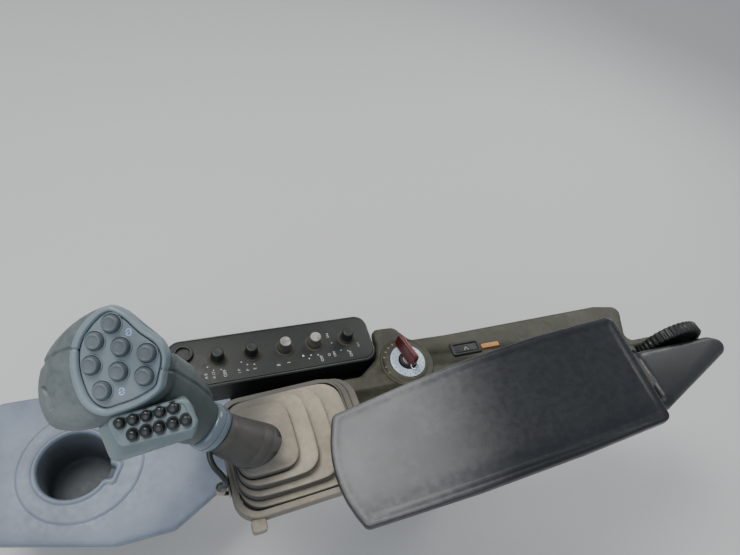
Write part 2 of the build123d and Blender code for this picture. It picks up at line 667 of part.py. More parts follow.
# the wheel stands upright through its slot in the pod
with BuildPart(wheel_at) as adjust_wheel:
    Cylinder(wheel_r, wheel_t)
    chamfer(adjust_wheel.edges().filter_by(GeomType.CIRCLE), wheel_edge)
    with PolarLocations(wheel_r, wheel_ribs):
        Cylinder(rib_r, wheel_t + 1, mode=Mode.SUBTRACT)
save(adjust_wheel, "adjust_wheel")

# tray with its cup well
tray_points = (
    (tray_front, -10), (tray_front, tray_out), (tray_rear, tray_out), (tray_rear, 2),
    (-312, -14), (-362, tray_in + 1), (-425, tray_in),
)
with BuildPart() as tray:
    add(edge_loop(tray_points, 16, Plane.XY.offset(tray_top)))
    add(edge_loop(inset(tray_points, 4), 16, Plane.XY.offset(tray_top - tray_skirt)))
    loft(ruled=True)
    add(edge_loop(inset(tray_points, tray_wall), 16 - tray_wall,
                  Plane.XY.offset(tray_top - tray_wall)))
    add(edge_loop(inset(tray_points, tray_wall + 4), 16 - tray_wall,
                  Plane.XY.offset(tray_top - tray_skirt)))
    loft(ruled=True, mode=Mode.SUBTRACT)
    with Locations((cup_x, cup_y, tray_top)):
        Cone(dish_ro, cup_r + cup_lip, lip_h, align=(Align.CENTER, Align.CENTER, Align.MIN))
    with Locations((cup_x, cup_y, tray_top)):
        Cylinder(cup_r + tray_wall, cup_depth + tray_wall,
                 align=(Align.CENTER, Align.CENTER, Align.MAX))
    with BuildSketch(Plane.XY.offset(tray_top + lip_h)):
        with Locations(Location((cup_x, cup_y, 0), (0, 0, notch_turn))):
            with Locations((notch_reach / 2, 0)):
                SlotOverall(notch_reach + notch_w / 2, notch_w)
        with Locations((cup_x, cup_y)):
            Circle(cup_r)
    extrude(amount=-notch_depth, mode=Mode.SUBTRACT)
    with Locations((cup_x, cup_y, tray_top + lip_h)):
        Cylinder(cup_r, cup_depth + lip_h, align=(Align.CENTER, Align.CENTER, Align.MAX),
                 mode=Mode.SUBTRACT)
    with Locations((tray_rear, stay_y, tray_top - tray_wall)):
        Box(30, stay_w + 2, tray_skirt, align=(Align.CENTER, Align.CENTER, Align.MAX),
            mode=Mode.SUBTRACT)
save(tray, "tray")

# steel stay from the column to the tray's underside
stay_top = tray_top - tray_wall
with BuildPart() as tray_stay:
    with BuildSketch(Plane.XY.offset(stay_top)) as stay_outline:
        with BuildLine():
            Polyline((-column_l / 2, -stay_w / 2), (-column_l / 2, stay_w / 2),
                     (tray_rear + stay_foot, stay_y + stay_w / 2),
                     (stay_bend, stay_y + stay_w / 2), (stay_taper, stay_wide),
                     (stay_front, stay_wide), (stay_front, stay_y - stay_w),
                     (stay_taper, stay_y - stay_w / 2), (tray_rear + stay_foot, stay_y - stay_w / 2),
                     close=True)
        make_face()
    extrude(amount=-stay_t)
save(tray_stay, "tray_stay")

# clip screwed to the front wall of the boot's frame, round the cable
with BuildPart(frame_at.offset(clip_up)) as cable_clip:
    with Locations((frame_from - clip_gap, clip_side)):
        Box(clip_t, 2 * clip_w, clip_w, align=(Align.MAX, Align.CENTER, Align.CENTER))
    with Locations((frame_from - clip_out, clip_side)):
        Box(clip_out - clip_gap - clip_t / 2, clip_w / 2, clip_w,
            align=(Align.MIN, Align.CENTER, Align.CENTER))
        Cylinder(cable_r + clip_fit + clip_t, clip_w)
        Cylinder(cable_r + clip_fit, 3 * clip_w, mode=Mode.SUBTRACT)
save(cable_clip, "cable_clip")

# cable: leaves the collar's underside, hangs in a bow and runs down through the clip
gland = Plane(origin=axis_point(sleeve_to + collar_l / 2), x_dir=neck_up, z_dir=grip_dir)
start = gland.from_local_coords((-collar_r - cable_seat, 0, 0))
clip_hole = frame_at.from_local_coords((frame_from - clip_out, clip_side, 0))
cable_points = [start, gland.from_local_coords((-collar_r - 13, 0, -5))]
cable_points += [clip_hole + Vector(*step) for step in cable_steps]
radii = []
for a, b, c in zip(cable_points, cable_points[1:], cable_points[2:]):
    turn = radians((b - a).get_angle(c - b))
    radii.append(round(0.45 * min((b - a).length, (c - b).length) / tan(turn / 2), 1))
print("cable radii", radii)
with BuildPart() as grip_cable:
    with BuildLine() as route:
        FilletPolyline(*cable_points, radius=radii)
    with BuildSketch(Plane(origin=route.line @ 0, z_dir=route.line % 0)):
        Circle(cable_r)
    sweep()
print("cable", grip_cable.part.is_valid, grip_cable.part.volume / (3.14159 * cable_r ** 2),
      sum(edge.length for edge in route.edges()))
save(grip_cable, "grip_cable")
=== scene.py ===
import json
from math import cos, exp, pi, radians, sin, tan

import bmesh
import bpy
from mathutils import Matrix, Vector
from mathutils.geometry import interpolate_bezier


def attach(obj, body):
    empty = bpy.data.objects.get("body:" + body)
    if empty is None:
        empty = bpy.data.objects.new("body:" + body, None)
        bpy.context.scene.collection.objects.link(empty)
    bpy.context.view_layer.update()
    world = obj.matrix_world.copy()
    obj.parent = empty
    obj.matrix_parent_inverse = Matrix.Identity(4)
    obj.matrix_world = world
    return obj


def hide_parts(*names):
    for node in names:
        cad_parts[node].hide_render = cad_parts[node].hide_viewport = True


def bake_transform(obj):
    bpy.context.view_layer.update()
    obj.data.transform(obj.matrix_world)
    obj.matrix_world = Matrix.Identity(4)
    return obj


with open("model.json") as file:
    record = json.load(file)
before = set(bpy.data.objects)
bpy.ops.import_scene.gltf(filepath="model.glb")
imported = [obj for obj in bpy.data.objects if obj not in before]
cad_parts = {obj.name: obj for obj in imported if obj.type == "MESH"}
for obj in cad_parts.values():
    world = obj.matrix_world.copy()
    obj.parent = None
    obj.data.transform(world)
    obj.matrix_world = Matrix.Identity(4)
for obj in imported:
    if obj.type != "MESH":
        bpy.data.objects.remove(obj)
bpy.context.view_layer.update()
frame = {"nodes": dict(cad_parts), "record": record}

scene = bpy.context.scene

# camera at the height of the driver's eyes
viewpoint = {
    "place": (-0.3373, -0.2235, 0.7877),
    "right": (0.93093, -0.29977, 0.20859),
    "up": (0.1096, 0.77418, 0.62341),
    "lens": 25.98,
}


def placeCamera():
    data = bpy.data.cameras.new("camera")
    data.lens, data.sensor_width, data.clip_start = viewpoint["lens"], 36, 0.02
    camera = bpy.data.objects.new("camera", data)
    right, up = Vector(viewpoint["right"]), Vector(viewpoint["up"])
    turn = Matrix((right, up, right.cross(up))).transposed().to_4x4()
    camera.matrix_world = Matrix.Translation(viewpoint["place"]) @ turn
    scene.collection.objects.link(camera)
    scene.camera = camera


placeCamera()
print("camera set")


def addNode(tree, kind, **settings):
    node = tree.nodes.new(kind)
    for key, value in settings.items():
        setattr(node, key, value)
    return node


def feed(tree, socket, value):
    # a link, a number or a colour
    if isinstance(value, bpy.types.NodeSocket):
        tree.links.new(value, socket)
    else:
        socket.default_value = value if isinstance(value, (int, float)) else (*value, 1)


def mixColors(tree, factor, first, second, how="MIX"):
    mix = addNode(tree, "ShaderNodeMix", data_type="RGBA", blend_type=how)
    for number, value in ((0, factor), (6, first), (7, second)):
        feed(tree, mix.inputs[number], value)
    return mix.outputs[2]


def calc(tree, how, first, second=0.0):
    math = addNode(tree, "ShaderNodeMath", operation=how)
    feed(tree, math.inputs[0], first)
    feed(tree, math.inputs[1], second)
    return math.outputs[0]


def noiseOf(tree, where, scale, detail=3.0, roughness=0.55, stretch=None):
    noise = addNode(tree, "ShaderNodeTexNoise")
    noise.inputs["Scale"].default_value = scale
    noise.inputs["Detail"].default_value = detail
    noise.inputs["Roughness"].default_value = roughness
    if stretch:
        mapping = addNode(tree, "ShaderNodeMapping")
        mapping.inputs["Scale"].default_value = stretch[:3]
        mapping.inputs["Rotation"].default_value = (0, 0, radians(stretch[3]))
        tree.links.new(where, mapping.inputs["Vector"])
        where = mapping.outputs["Vector"]
    tree.links.new(where, noise.inputs["Vector"])
    return noise.outputs["Fac"]


def ramp(tree, value, low, high, fromLow=0.0, fromHigh=1.0):
    fit = addNode(tree, "ShaderNodeMapRange", interpolation_type="SMOOTHSTEP")
    tree.links.new(value, fit.inputs["Value"])
    for socket, number in zip(fit.inputs[1:5], (low, high, fromLow, fromHigh)):
        socket.default_value = number
    return fit.outputs[0]


def along(tree, where, direction, low, high):
    # 0 to 1 across the part in one direction, between two distances in metres
    dot = addNode(tree, "ShaderNodeVectorMath", operation="DOT_PRODUCT")
    tree.links.new(where, dot.inputs[0])
    dot.inputs[1].default_value = direction
    return ramp(tree, dot.outputs["Value"], low, high)


# base colour, roughness, moulded grain per metre, its depth, dust on top faces, the dust's colour;
# for the boot, the frame, the pad and two knobs this dust also paints sunlight
finishes = {
    "standPaint": ((0.03, 0.03, 0.032), 0.42, 420, 0.1, 0.35),
    "podPlastic": ((0.04, 0.041, 0.027), 0.58, 1500, 0.22, 0.55, (0.18, 0.172, 0.115)),
    "blackPlastic": ((0.0085, 0.012, 0.0115), 0.48, 1700, 0.14, 0.1, (0.13, 0.12, 0.08)),
    # switch box rim: lighter grey that paints a highlight line along the edge, partly worn edge
    "edgeHighlightPlastic": ((0.05, 0.062, 0.06), 0.34, 1700, 0.06, 0.3, (0.16, 0.17, 0.15)),
    # rear cover: dark plastic darkened further, painted shade for the deep shadow it lies in
    "coverShadedPlastic": ((0.009, 0.012, 0.014), 0.38, 1500, 0.1, 0.06, (0.1, 0.11, 0.12)),
    "trayPlastic": ((0.16, 0.198, 0.262), 0.44, 1300, 0.1, 0.25, (0.33, 0.35, 0.38)),
    # well: darker than the tray, painted shade inside the deep well
    "wellShadedPlastic": ((0.105, 0.122, 0.14), 0.6, 1300, 0.1),
    # boot and frame: their tan dust is partly dust and partly painted sunlight on the steps
    "bootRubber": ((0.062, 0.062, 0.062), 0.66, 900, 0.12, 1.35, (0.52, 0.455, 0.345)),
    "frameRubber": ((0.085, 0.085, 0.078), 0.7, 900, 0.12, 1.1, (0.5, 0.44, 0.34)),
    "sleeveRubber": ((0.034, 0.034, 0.032), 0.5, 1100, 0.1, 0.25, (0.15, 0.13, 0.1)),
    "gripPlastic": ((0.062, 0.08, 0.084), 0.42, 2100, 0.2, 1, (0.215, 0.245, 0.25)),
    # face bezel and button rings: lighter than the grip body, a painted highlight on their rounded
    # rims
    "rimHighlightPlastic": ((0.17, 0.225, 0.255), 0.34, 2100, 0.1, 0.15, (0.32, 0.38, 0.42)),
    "panelPlastic": ((0.15, 0.19, 0.225), 0.46, 2300, 0.18, 0.55, (0.235, 0.24, 0.205)),
    "keypadPlastic": ((0.14, 0.19, 0.205), 0.4, 2100, 0.14, 0.3, (0.27, 0.31, 0.32)),
    "buttonPlastic": ((0.094, 0.115, 0.134), 0.44, 2400, 0.12, 0.4, (0.21, 0.24, 0.25)),
    "domeRubber": ((0.011, 0.014, 0.016), 0.32, 2600, 0.06, 0.06),
    "collarGloss": ((0.12, 0.16, 0.195), 0.2, 700, 0.02, 0.1),
    # pad: its light dust at the front is partly dust and partly painted sunlight
    "padSkin": ((0.0085, 0.011, 0.015), 0.33, 1500, 0.08, 0.95, (0.33, 0.34, 0.345)),
    "bareSteel": ((0.52, 0.52, 0.52), 0.3, 600, 0.05),
    "wornSteel": ((0.3, 0.27, 0.23), 0.42, 600, 0.15, 0.3),
    "labelSilver": ((0.5, 0.64, 0.76), 0.32, 900, 0.03, 0.1, (0.55, 0.62, 0.66)),
    "keyRed": ((0.105, 0.012, 0.01), 0.38, 1500, 0.05, 0.15, (0.2, 0.1, 0.08)),
    "amberLens": ((0.5, 0.2, 0.03), 0.25, 1200, 0.02),
    "printWhite": ((0.46, 0.5, 0.5), 0.6, 2000, 0.02),
    "printBlue": ((0.36, 0.5, 0.78), 0.55, 2000, 0.02),
    "printWorn": ((0.24, 0.24, 0.19), 0.65, 2000, 0.02),
    "printDark": ((0.06, 0.08, 0.11), 0.6, 2000, 0.02),
    # two knob caps: pale with dust and painted sunlight
    "knobSunAndDust": ((0.055, 0.055, 0.05), 0.6, 1500, 0.1, 1.5, (0.62, 0.6, 0.54)),
    "dustRing": ((0.034, 0.032, 0.024), 0.68, 1500, 0.1, 0.5, (0.1, 0.088, 0.06)),
}
# what only some of them have; the drift makes the dust grow across the part and paints sunlight
# and shade on the boot, the frame and the pad: direction, from, to, least share
extras = {
    "podPlastic": dict(mottle=1.5, dustAndShadeDrift=((-1, 0.3, 0), 0.02, 0.115, 0.3)),
    "trayPlastic": dict(scuffs=1, mottle=0.9),
    "wellShadedPlastic": dict(scuffs=0.8),
    # boot: the drift paints sunlight towards the rear and shade towards the front
    "bootRubber": dict(mottle=0.4, dustAndShadeDrift=((0.93, -0.3, 0.21), -0.195, -0.145, 0.16)),
    # frame: the drift paints sunlight on the inboard side and shade on the outboard side
    "frameRubber": dict(mottle=0.5, sides=0.6, dustAndShadeDrift=((0.47, -0.8, -0.37), -0.205, -0.15, 0.12)),
    "gripPlastic": dict(mottle=0.8, sides=0.7, dustAndShadeDrift=((-0.93, 0.3, -0.21), 0.215, 0.3, 0.06)),
    "panelPlastic": dict(mottle=1.3),
    # pad: the drift paints sunlight on its front
    "padSkin": dict(scuffs=0.5, shine=0.32, mottle=0.45,
                    dustAndShadeDrift=((-0.93, 0.25, 0), 0.03, 0.15, 0.03)),
    "bareSteel": dict(metal=1),
    "wornSteel": dict(metal=0.7),
}


def makeFinish(name, color, rough, grain, depth, dustAndSun=0.0, dustAndSunColor=(0.22, 0.19, 0.14), metal=0.0,
               scuffs=0.0, mottle=1.0, sides=0.0, shine=0.5, dustAndShadeDrift=None):
    material = bpy.data.materials.new(name)
    material.use_nodes = True
    tree = material.node_tree
    shader = tree.nodes["Principled BSDF"]
    where = addNode(tree, "ShaderNodeTexCoord")
    place = where.outputs["Object"]
    # broad patches of handling and sun
    patches = noiseOf(tree, place, 14, 4.0, 0.6)
    fine = noiseOf(tree, place, 160, 3.0)
    shade = ramp(tree, patches, 0.30, 0.72, 1 - 0.18 * mottle, 1 + 0.20 * mottle)
    base = mixColors(tree, 1.0, color, shade, "MULTIPLY")
    # dust settles on what faces up; for some finishes the same layer also paints sunlight
    split = addNode(tree, "ShaderNodeSeparateXYZ")
    tree.links.new(where.outputs["Normal"], split.inputs[0])
    upward = ramp(tree, split.outputs["Z"], 0.1, 0.95, sides, 1.0)
    speckle = ramp(tree, calc(tree, "ADD", calc(tree, "MULTIPLY", patches, 0.6),
                              calc(tree, "MULTIPLY", fine, 0.4)), 0.36, 0.68,
                   max(0.0, 1 - 0.9 * mottle), 1.0)
    dustyAndLit = calc(tree, "MULTIPLY", calc(tree, "MULTIPLY", upward, speckle), 0.6 * dustAndSun)
    # the drift paints sunlight and shade across the boot, the frame and the pad, and spreads the
    # dust on the pod and the grip
    if dustAndShadeDrift:
        direction, low, high, least = dustAndShadeDrift
        spread = calc(tree, "ADD", calc(tree, "MULTIPLY", along(tree, place, direction, low, high),
                                        1 - least), least)
        dustyAndLit = calc(tree, "MULTIPLY", dustyAndLit, spread)
    dustyAndLit = calc(tree, "MINIMUM", dustyAndLit, 0.95)
    base = mixColors(tree, dustyAndLit, base, dustAndSunColor)
    roughness = calc(tree, "ADD", ramp(tree, fine, 0.3, 0.7, rough - 0.05, rough + 0.05),
                     calc(tree, "MULTIPLY", dustyAndLit, 0.25))
    if scuffs:
        rubbed = noiseOf(tree, place, 60, 5.0, 0.7, stretch=(1, 9, 4, 24))
        marks = ramp(tree, rubbed, 0.62, 0.76, 0.0, 0.28 * scuffs)
        base = mixColors(tree, marks, base, [min(1, c * 2.6 + 0.05) for c in color])
        roughness = calc(tree, "ADD", roughness, marks)
    tree.links.new(base, shader.inputs["Base Color"])
    tree.links.new(roughness, shader.inputs["Roughness"])
    shader.inputs["Metallic"].default_value = metal
    shader.inputs["Specular IOR Level"].default_value = shine
    bump = addNode(tree, "ShaderNodeBump")
    bump.inputs["Strength"].default_value = depth
    bump.inputs["Distance"].default_value = 0.0004
    tree.links.new(noiseOf(tree, place, grain, 2.0), bump.inputs["Height"])
    tree.links.new(bump.outputs["Normal"], shader.inputs["Normal"])
    return material


finish = {name: makeFinish(name, *values, **extras.get(name, {}))
          for name, values in finishes.items()}
print("finishes made")


# shapes are drawn in millimetres and scaled once they are done
def rectangle(length, width, bow=0.0):
    half, wide = length / 2, width / 2
    if not bow:
        return [(-half, -wide), (half, -wide), (half, wide), (-half, wide)]
    return [(-half, -wide), (0, -wide - bow), (half, -wide), (half + bow, 0), (half, wide),
            (0, wide + bow), (-half, wide), (-half - bow, 0)]


def insetOutline(points, amount):
    # every edge of a closed outline moved inwards by one distance
    area = sum(a[0] * b[1] - b[0] * a[1] for a, b in zip(points, points[1:] + points[:1]))
    side = 1 if area > 0 else -1
    moved = []
    for i, here in enumerate(points):
        before, after = Vector(points[i - 1]), Vector(points[(i + 1) % len(points)])
        here = Vector(here)
        n1, n2 = [Vector((-d.y, d.x)).normalized() * side for d in (here - before, after - here)]
        moved.append(tuple(here + (n1 + n2) * (amount / (1 + n1.dot(n2)))))
    return moved


def smoothOutline(points, steps=5):
    # soft closed curve through a few points
    points = [Vector(p) for p in points]
    leads = []
    for i, here in enumerate(points):
        back, on = here - points[i - 1], points[(i + 1) % len(points)] - here
        leads.append((back.normalized() * on.length + on.normalized() * back.length).normalized())
    curve = []
    for i, here in enumerate(points):
        after = (i + 1) % len(points)
        reach = (points[after] - here).length / 3
        curve += interpolate_bezier(here, here + leads[i] * reach,
                                    points[after] - leads[after] * reach, points[after],
                                    steps + 1)[:-1]
    return curve


def between(first, second, share):
    return [(a[0] * (1 - share) + b[0] * share, a[1] * (1 - share) + b[1] * share)
            for a, b in zip(first, second)]


def roundCorners(points, corner, segments=6):
    # each real corner becomes an arc; nearly straight ones stay as they are
    outline = []
    for i, here in enumerate(points):
        here = Vector(here)
        back, on = Vector(points[i - 1]) - here, Vector(points[(i + 1) % len(points)]) - here
        turn = pi - back.angle(on)
        if corner <= 0 or turn < radians(12):
            outline.append(here)
            continue
        reach = min(corner * tan(turn / 2), back.length * 0.49, on.length * 0.49)
        back, on = back.normalized(), on.normalized()
        centre = here + (back + on).normalized() * (reach / sin(turn / 2))
        first, last = here + back * reach - centre, here + on * reach - centre
        for k in range(segments + 1):
            share = k / segments
            outline.append(centre + first * (sin((1 - share) * turn) / sin(turn))
                           + last * (sin(share * turn) / sin(turn)))
    return outline


def addRing(bm, points, corner, place, segments=6):
    # closed outline with rounded corners, laid on a plane, as its corners in order
    return [bm.verts.new(place @ Vector((x, y, 0)))
            for x, y in roundCorners(points, corner, segments)]


def circleRing(bm, radius, place, segments=48):
    turns = [2 * pi * i / segments for i in range(segments)]
    return [bm.verts.new(place @ Vector((radius * cos(t), radius * sin(t), 0))) for t in turns]


def ringEdges(bm, ring):
    return [bm.edges.get(pair) or bm.edges.new(pair) for pair in zip(ring, ring[1:] + ring[:1])]


def loft(bm, rings, closeStart=False, closeEnd=False):
    for first, second in zip(rings, rings[1:]):
        if len(first) != len(second):
            bmesh.ops.bridge_loops(bm, edges=ringEdges(bm, first) + ringEdges(bm, second))
            continue
        for a, b, c, d in zip(first, first[1:] + first[:1], second[1:] + second[:1], second):
            bm.faces.new((a, b, c, d))
    if closeStart:
        bm.faces.new(rings[0][::-1])
    if closeEnd:
        bm.faces.new(rings[-1])


def addStack(bm, outline, levels, place, corner=0.0, segments=6, ease=1.0, least=0.0):
    # rings one above another: distance in from the outline, height
    return [addRing(bm, insetOutline(outline, inward), max(corner - inward * ease, least),
                    place @ at(0, 0, height), segments) for inward, height in levels]


def spinProfile(bm, profile, place, steps=48):
    # profile of (radius, height) turned round the local z axis
    old = set(bm.verts)
    verts = [bm.verts.new((r, 0, z)) for r, z in profile]
    edges = [bm.edges.new(pair) for pair in zip(verts, verts[1:])]
    bmesh.ops.spin(bm, geom=verts + edges, cent=(0, 0, 0), axis=(0, 0, 1), angle=2 * pi,
                   steps=steps, use_merge=True, use_duplicate=False, dvec=(0, 0, 0))
    new = [v for v in bm.verts if v not in old]
    bmesh.ops.remove_doubles(bm, verts=new, dist=0.001)
    new = [v for v in bm.verts if v not in old]
    bmesh.ops.transform(bm, matrix=place, verts=new)


def at(x, y, z, turn=0.0):
    return Matrix.Translation((x, y, z)) @ Matrix.Rotation(radians(turn), 4, "Z")


def addPrism(bm, points, corner, place, height, segments=5, edge=0.0):
    # a solid slab of an outline, its upper edge rounded
    levels = [(0.0, 0.0), (0.0, height - edge)]
    if edge:
        turns = [pi / 6 * i for i in (1, 2, 3)]
        levels += [(edge * (1 - cos(t)), height - edge + edge * sin(t)) for t in turns]
    loft(bm, addStack(bm, points, levels, place, corner, segments, least=0.2), True, True)


def addHex(bm, place, across, height):
    # bolt head with its washer
    wide, narrow = across * 0.72, across * 0.68
    spinProfile(bm, ((0, 0), (wide, 0), (wide, 1.0), (narrow, 1.3), (0, 1.3)), place, 28)
    rings = [circleRing(bm, across / 1.732 - drop, place @ at(0, 0, z), 6)
             for drop, z in ((0, 1.0), (0, height - 0.7), (across * 0.08, height))]
    loft(bm, rings, True, True)


def addWall(piece, thickness, offset=-1):
    solid = piece.modifiers.new("wall", "SOLIDIFY")
    solid.thickness, solid.offset = thickness * 0.001, offset


slotOf = {item["node"]: item["material_slot"] for item in frame["record"]["subparts"]}
bodyOf = {node: body for body, nodes in frame["record"]["behaviour"]["bodies"].items()
          for node in nodes}


def finishPiece(bm, name, look, replaces="", like="", slot="", crispAngle=None, levels=0,
                wall=0.0, outward=True, even=False, ride=True):
    # slot and body are looked up from the nodes it stands for, or from one that it is like; only
    # the body is used
    nodes = replaces.split()
    like = like or replaces.partition(" ")[0]
    slot = slot or slotOf.get(like)
    body = bodyOf.get(like) if ride else None
    bmesh.ops.remove_doubles(bm, verts=bm.verts, dist=0.002)
    if outward:
        bmesh.ops.recalc_face_normals(bm, faces=bm.faces)
    bmesh.ops.scale(bm, vec=(0.001, 0.001, 0.001), verts=bm.verts)
    for face in bm.faces:
        face.smooth = True
    if crispAngle:
        for edge in bm.edges:
            if len(edge.link_faces) == 2 and edge.calc_face_angle() > radians(crispAngle):
                edge.smooth = False
    mesh = bpy.data.meshes.new(name)
    bm.to_mesh(mesh)
    bm.free()
    mesh.materials.append(finish[look])
    piece = bpy.data.objects.new(name, mesh)
    scene.collection.objects.link(piece)
    if wall:
        addWall(piece, wall)
    if levels:
        rounder = piece.modifiers.new("rounding", "SUBSURF")
        rounder.levels = rounder.render_levels = levels
    if even:
        # flat faces stay flat beside their rounded edges
        piece.modifiers.new("evenShading", "WEIGHTED_NORMAL").keep_sharp = True
        bakeModifiers(piece)
    if nodes:
        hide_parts(*nodes)
    if body:
        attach(piece, body)
    return piece


def spunPiece(name, look, profile, places, steps, replaces="", crispAngle=45, **more):
    bm = bmesh.new()
    for place in places:
        spinProfile(bm, profile, place, steps)
    finishPiece(bm, name, look, replaces, crispAngle=crispAngle, **more)


def stackPiece(name, look, replaces, outline, levels, place, corner=0.0, segments=6, ease=1.0,
               least=0.0, caps=(True, True), **more):
    bm = bmesh.new()
    loft(bm, addStack(bm, outline, levels, place, corner, segments, ease, least), *caps)
    return finishPiece(bm, name, look, replaces, **more)


def printMarks(name, look, strokes, width, corner, height, **more):
    # flat printed strokes: place and length of each
    bm = bmesh.new()
    for place, length in strokes:
        addPrism(bm, rectangle(length, width), corner, place, height, 2)
    finishPiece(bm, name, look, **more)


def bakeModifiers(piece):
    graph = bpy.context.evaluated_depsgraph_get()
    mesh = bpy.data.meshes.new_from_object(piece.evaluated_get(graph))
    old = piece.data
    piece.modifiers.clear()
    piece.data = mesh
    bpy.data.meshes.remove(old)


def softenNode(nodeName, look, width):
    # a copy of a plain machined or cut piece with its sharp edges broken
    bm = bmesh.new()
    bm.from_mesh(frame["nodes"][nodeName].data)
    bmesh.ops.scale(bm, vec=(1000, 1000, 1000), verts=bm.verts)
    bmesh.ops.remove_doubles(bm, verts=bm.verts, dist=0.01)
    flat, crisp = radians(0.8), radians(34)
    bmesh.ops.dissolve_limit(bm, angle_limit=flat, verts=bm.verts, edges=bm.edges,
                             use_dissolve_boundaries=False)
    sharp = [e for e in bm.edges if len(e.link_faces) == 2 and e.calc_face_angle() > crisp]
    bmesh.ops.bevel(bm, geom=sharp, offset=width, offset_type="OFFSET", segments=2,
                    profile=0.5, affect="EDGES", material=-1, clamp_overlap=True)
    bmesh.ops.triangulate(bm, faces=[f for f in bm.faces if len(f.verts) > 4])
    finishPiece(bm, nodeName + "Soft", look, nodeName, outward=False, even=True)


# the grip's cable leaves the collar, hangs in a bow and goes down through its clip
cable = {
    "diameter": 0.0048,
    "route": ((-0.32219, -0.04958, 0.35621), (-0.32626, -0.05992, 0.34912),
              (-0.31099, -0.07602, 0.332), (-0.31699, -0.07402, 0.312),
              (-0.31599, -0.06602, 0.297), (-0.31599, -0.06602, 0.283),
              (-0.31099, -0.06602, 0.272), (-0.30099, -0.06402, 0.266)),
    "seamHeight": 0.312,
    # a pair of heights for each part
    "upper": (0.312, 0.34), "lower": (0.29, 0.311),
}


def smoothRoute(points):
    # the line of a NURBS spline with the route's points, read as a chain of places
    data = bpy.data.curves.new("routeLine", "CURVE")
    data.dimensions, data.resolution_u = "3D", 24
    spline = data.splines.new("NURBS")
    spline.points.add(len(points) - 1)
    for point, place in zip(spline.points, points):
        point.co = (*place, 1)
    spline.order_u, spline.use_endpoint_u = 3, True
    holder = bpy.data.objects.new("routeLine", data)
    mesh = bpy.data.meshes.new_from_object(holder)
    line = [v.co.copy() for v in mesh.vertices]
    bpy.data.objects.remove(holder)
    bpy.data.meshes.remove(mesh)
    return line


def tubeAlong(name, line, radius):
    bm = bmesh.new()
    rings = []
    for i, here in enumerate(line):
        ahead = (line[min(i + 1, len(line) - 1)] - line[max(i - 1, 0)]).normalized()
        turn = Vector((0, 0, 1)).rotation_difference(ahead).to_matrix().to_4x4()
        rings.append(circleRing(bm, radius * 1000, Matrix.Translation(here * 1000) @ turn, 16))
    loft(bm, rings, True, True)
    return finishPiece(bm, name, "domeRubber", "grip_cable", crispAngle=50, ride=False)


def layCable():
    line = smoothRoute(cable["route"])
    cut = min(range(len(line)), key=lambda i: abs(line[i].z - cable["seamHeight"]))
    for name, part, pair, (bottom, top) in (
            ("cableUpper", line[:cut + 1], ("gimbal", "stick"), cable["upper"]),
            ("cableLower", line[cut:], ("console", "gimbal"), cable["lower"])):
        piece = tubeAlong(name, part, cable["diameter"] / 2)
        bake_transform(piece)


layCable()
print("cable laid")


studio = {
    "sky": ((0.83, 0.86, 0.9), 0.58),
    "key": ((-0.75, 0.55, 1.9), (-0.15, 0, 0.33), 0.8, 21, (1, 0.97, 0.92)),
    "fill": ((-1.1, -1.2, 1.1), (-0.1, 0, 0.25), 1.4, 9, (0.9, 0.94, 1)),
    "rim": ((1.1, 0.9, 1.2), (0, 0, 0.25), 0.9, 9, (1, 0.98, 0.95)),
    # colour, roughness, half its width
    "floor": ((0.6, 0.61, 0.61), 0.8, 6),
}


def lightStudio():
    world = bpy.data.worlds.new("studio")
    scene.world = world
    world.use_nodes = True
    sky = world.node_tree.nodes["Background"]
    sky.inputs["Color"].default_value = (*studio["sky"][0], 1)
    sky.inputs["Strength"].default_value = studio["sky"][1]
    for name in ("key", "fill", "rim"):
        place, aim, size, power, color = studio[name]
        data = bpy.data.lights.new(name, "AREA")
        data.shape, data.size, data.energy, data.color = "DISK", size, power, color
        lamp = bpy.data.objects.new(name, data)
        lamp.location = place
        lamp.rotation_euler = (Vector(aim) - Vector(place)).to_track_quat("-Z", "Y").to_euler()
        scene.collection.objects.link(lamp)
    color, roughness, reach = studio["floor"]
    bm = bmesh.new()
    bmesh.ops.create_grid(bm, x_segments=1, y_segments=1, size=reach)
    mesh = bpy.data.meshes.new("floor")
    bm.to_mesh(mesh)
    bm.free()
    floor = bpy.data.objects.new("floor", mesh)
    scene.collection.objects.link(floor)
    paint = bpy.data.materials.new("floorPaint")
    paint.use_nodes = True
    shader = paint.node_tree.nodes["Principled BSDF"]
    shader.inputs["Base Color"].default_value = (*color, 1)
    shader.inputs["Roughness"].default_value = roughness
    mesh.materials.append(paint)


lightStudio()
print("studio lit")


# CAD nodes that keep their shape get their finish
nodeFinish = {
    "indicator_bar": "amberLens", "gimbal_ring": "bareSteel", "stick_shaft": "bareSteel",
}
for nodeName, look in nodeFinish.items():
    for slot in frame["nodes"][nodeName].material_slots:
        slot.material = finish[look]

# plain pieces of sheet, tube and turned steel: finish and width of the broken edge
plainPieces = {
    "base_plate": ("standPaint", 0.9), "column": ("standPaint", 0.7),
    "head_plate": ("standPaint", 0.6), "box_rail": ("standPaint", 0.6),
    "joystick_housing": ("standPaint", 0.9), "hinge_bracket": ("standPaint", 0.5),
    "hinge_pin": ("bareSteel", 0.7), "arm_blade": ("standPaint", 0.6),
    "tray_stay": ("standPaint", 0.7), "cable_clip": ("wornSteel", 0.3),
    "power_socket": ("blackPlastic", 0.4), "lock_barrel": ("blackPlastic", 0.3),
}
for nodeName, (look, width) in plainPieces.items():
    softenNode(nodeName, look, width)
print("plain pieces softened")


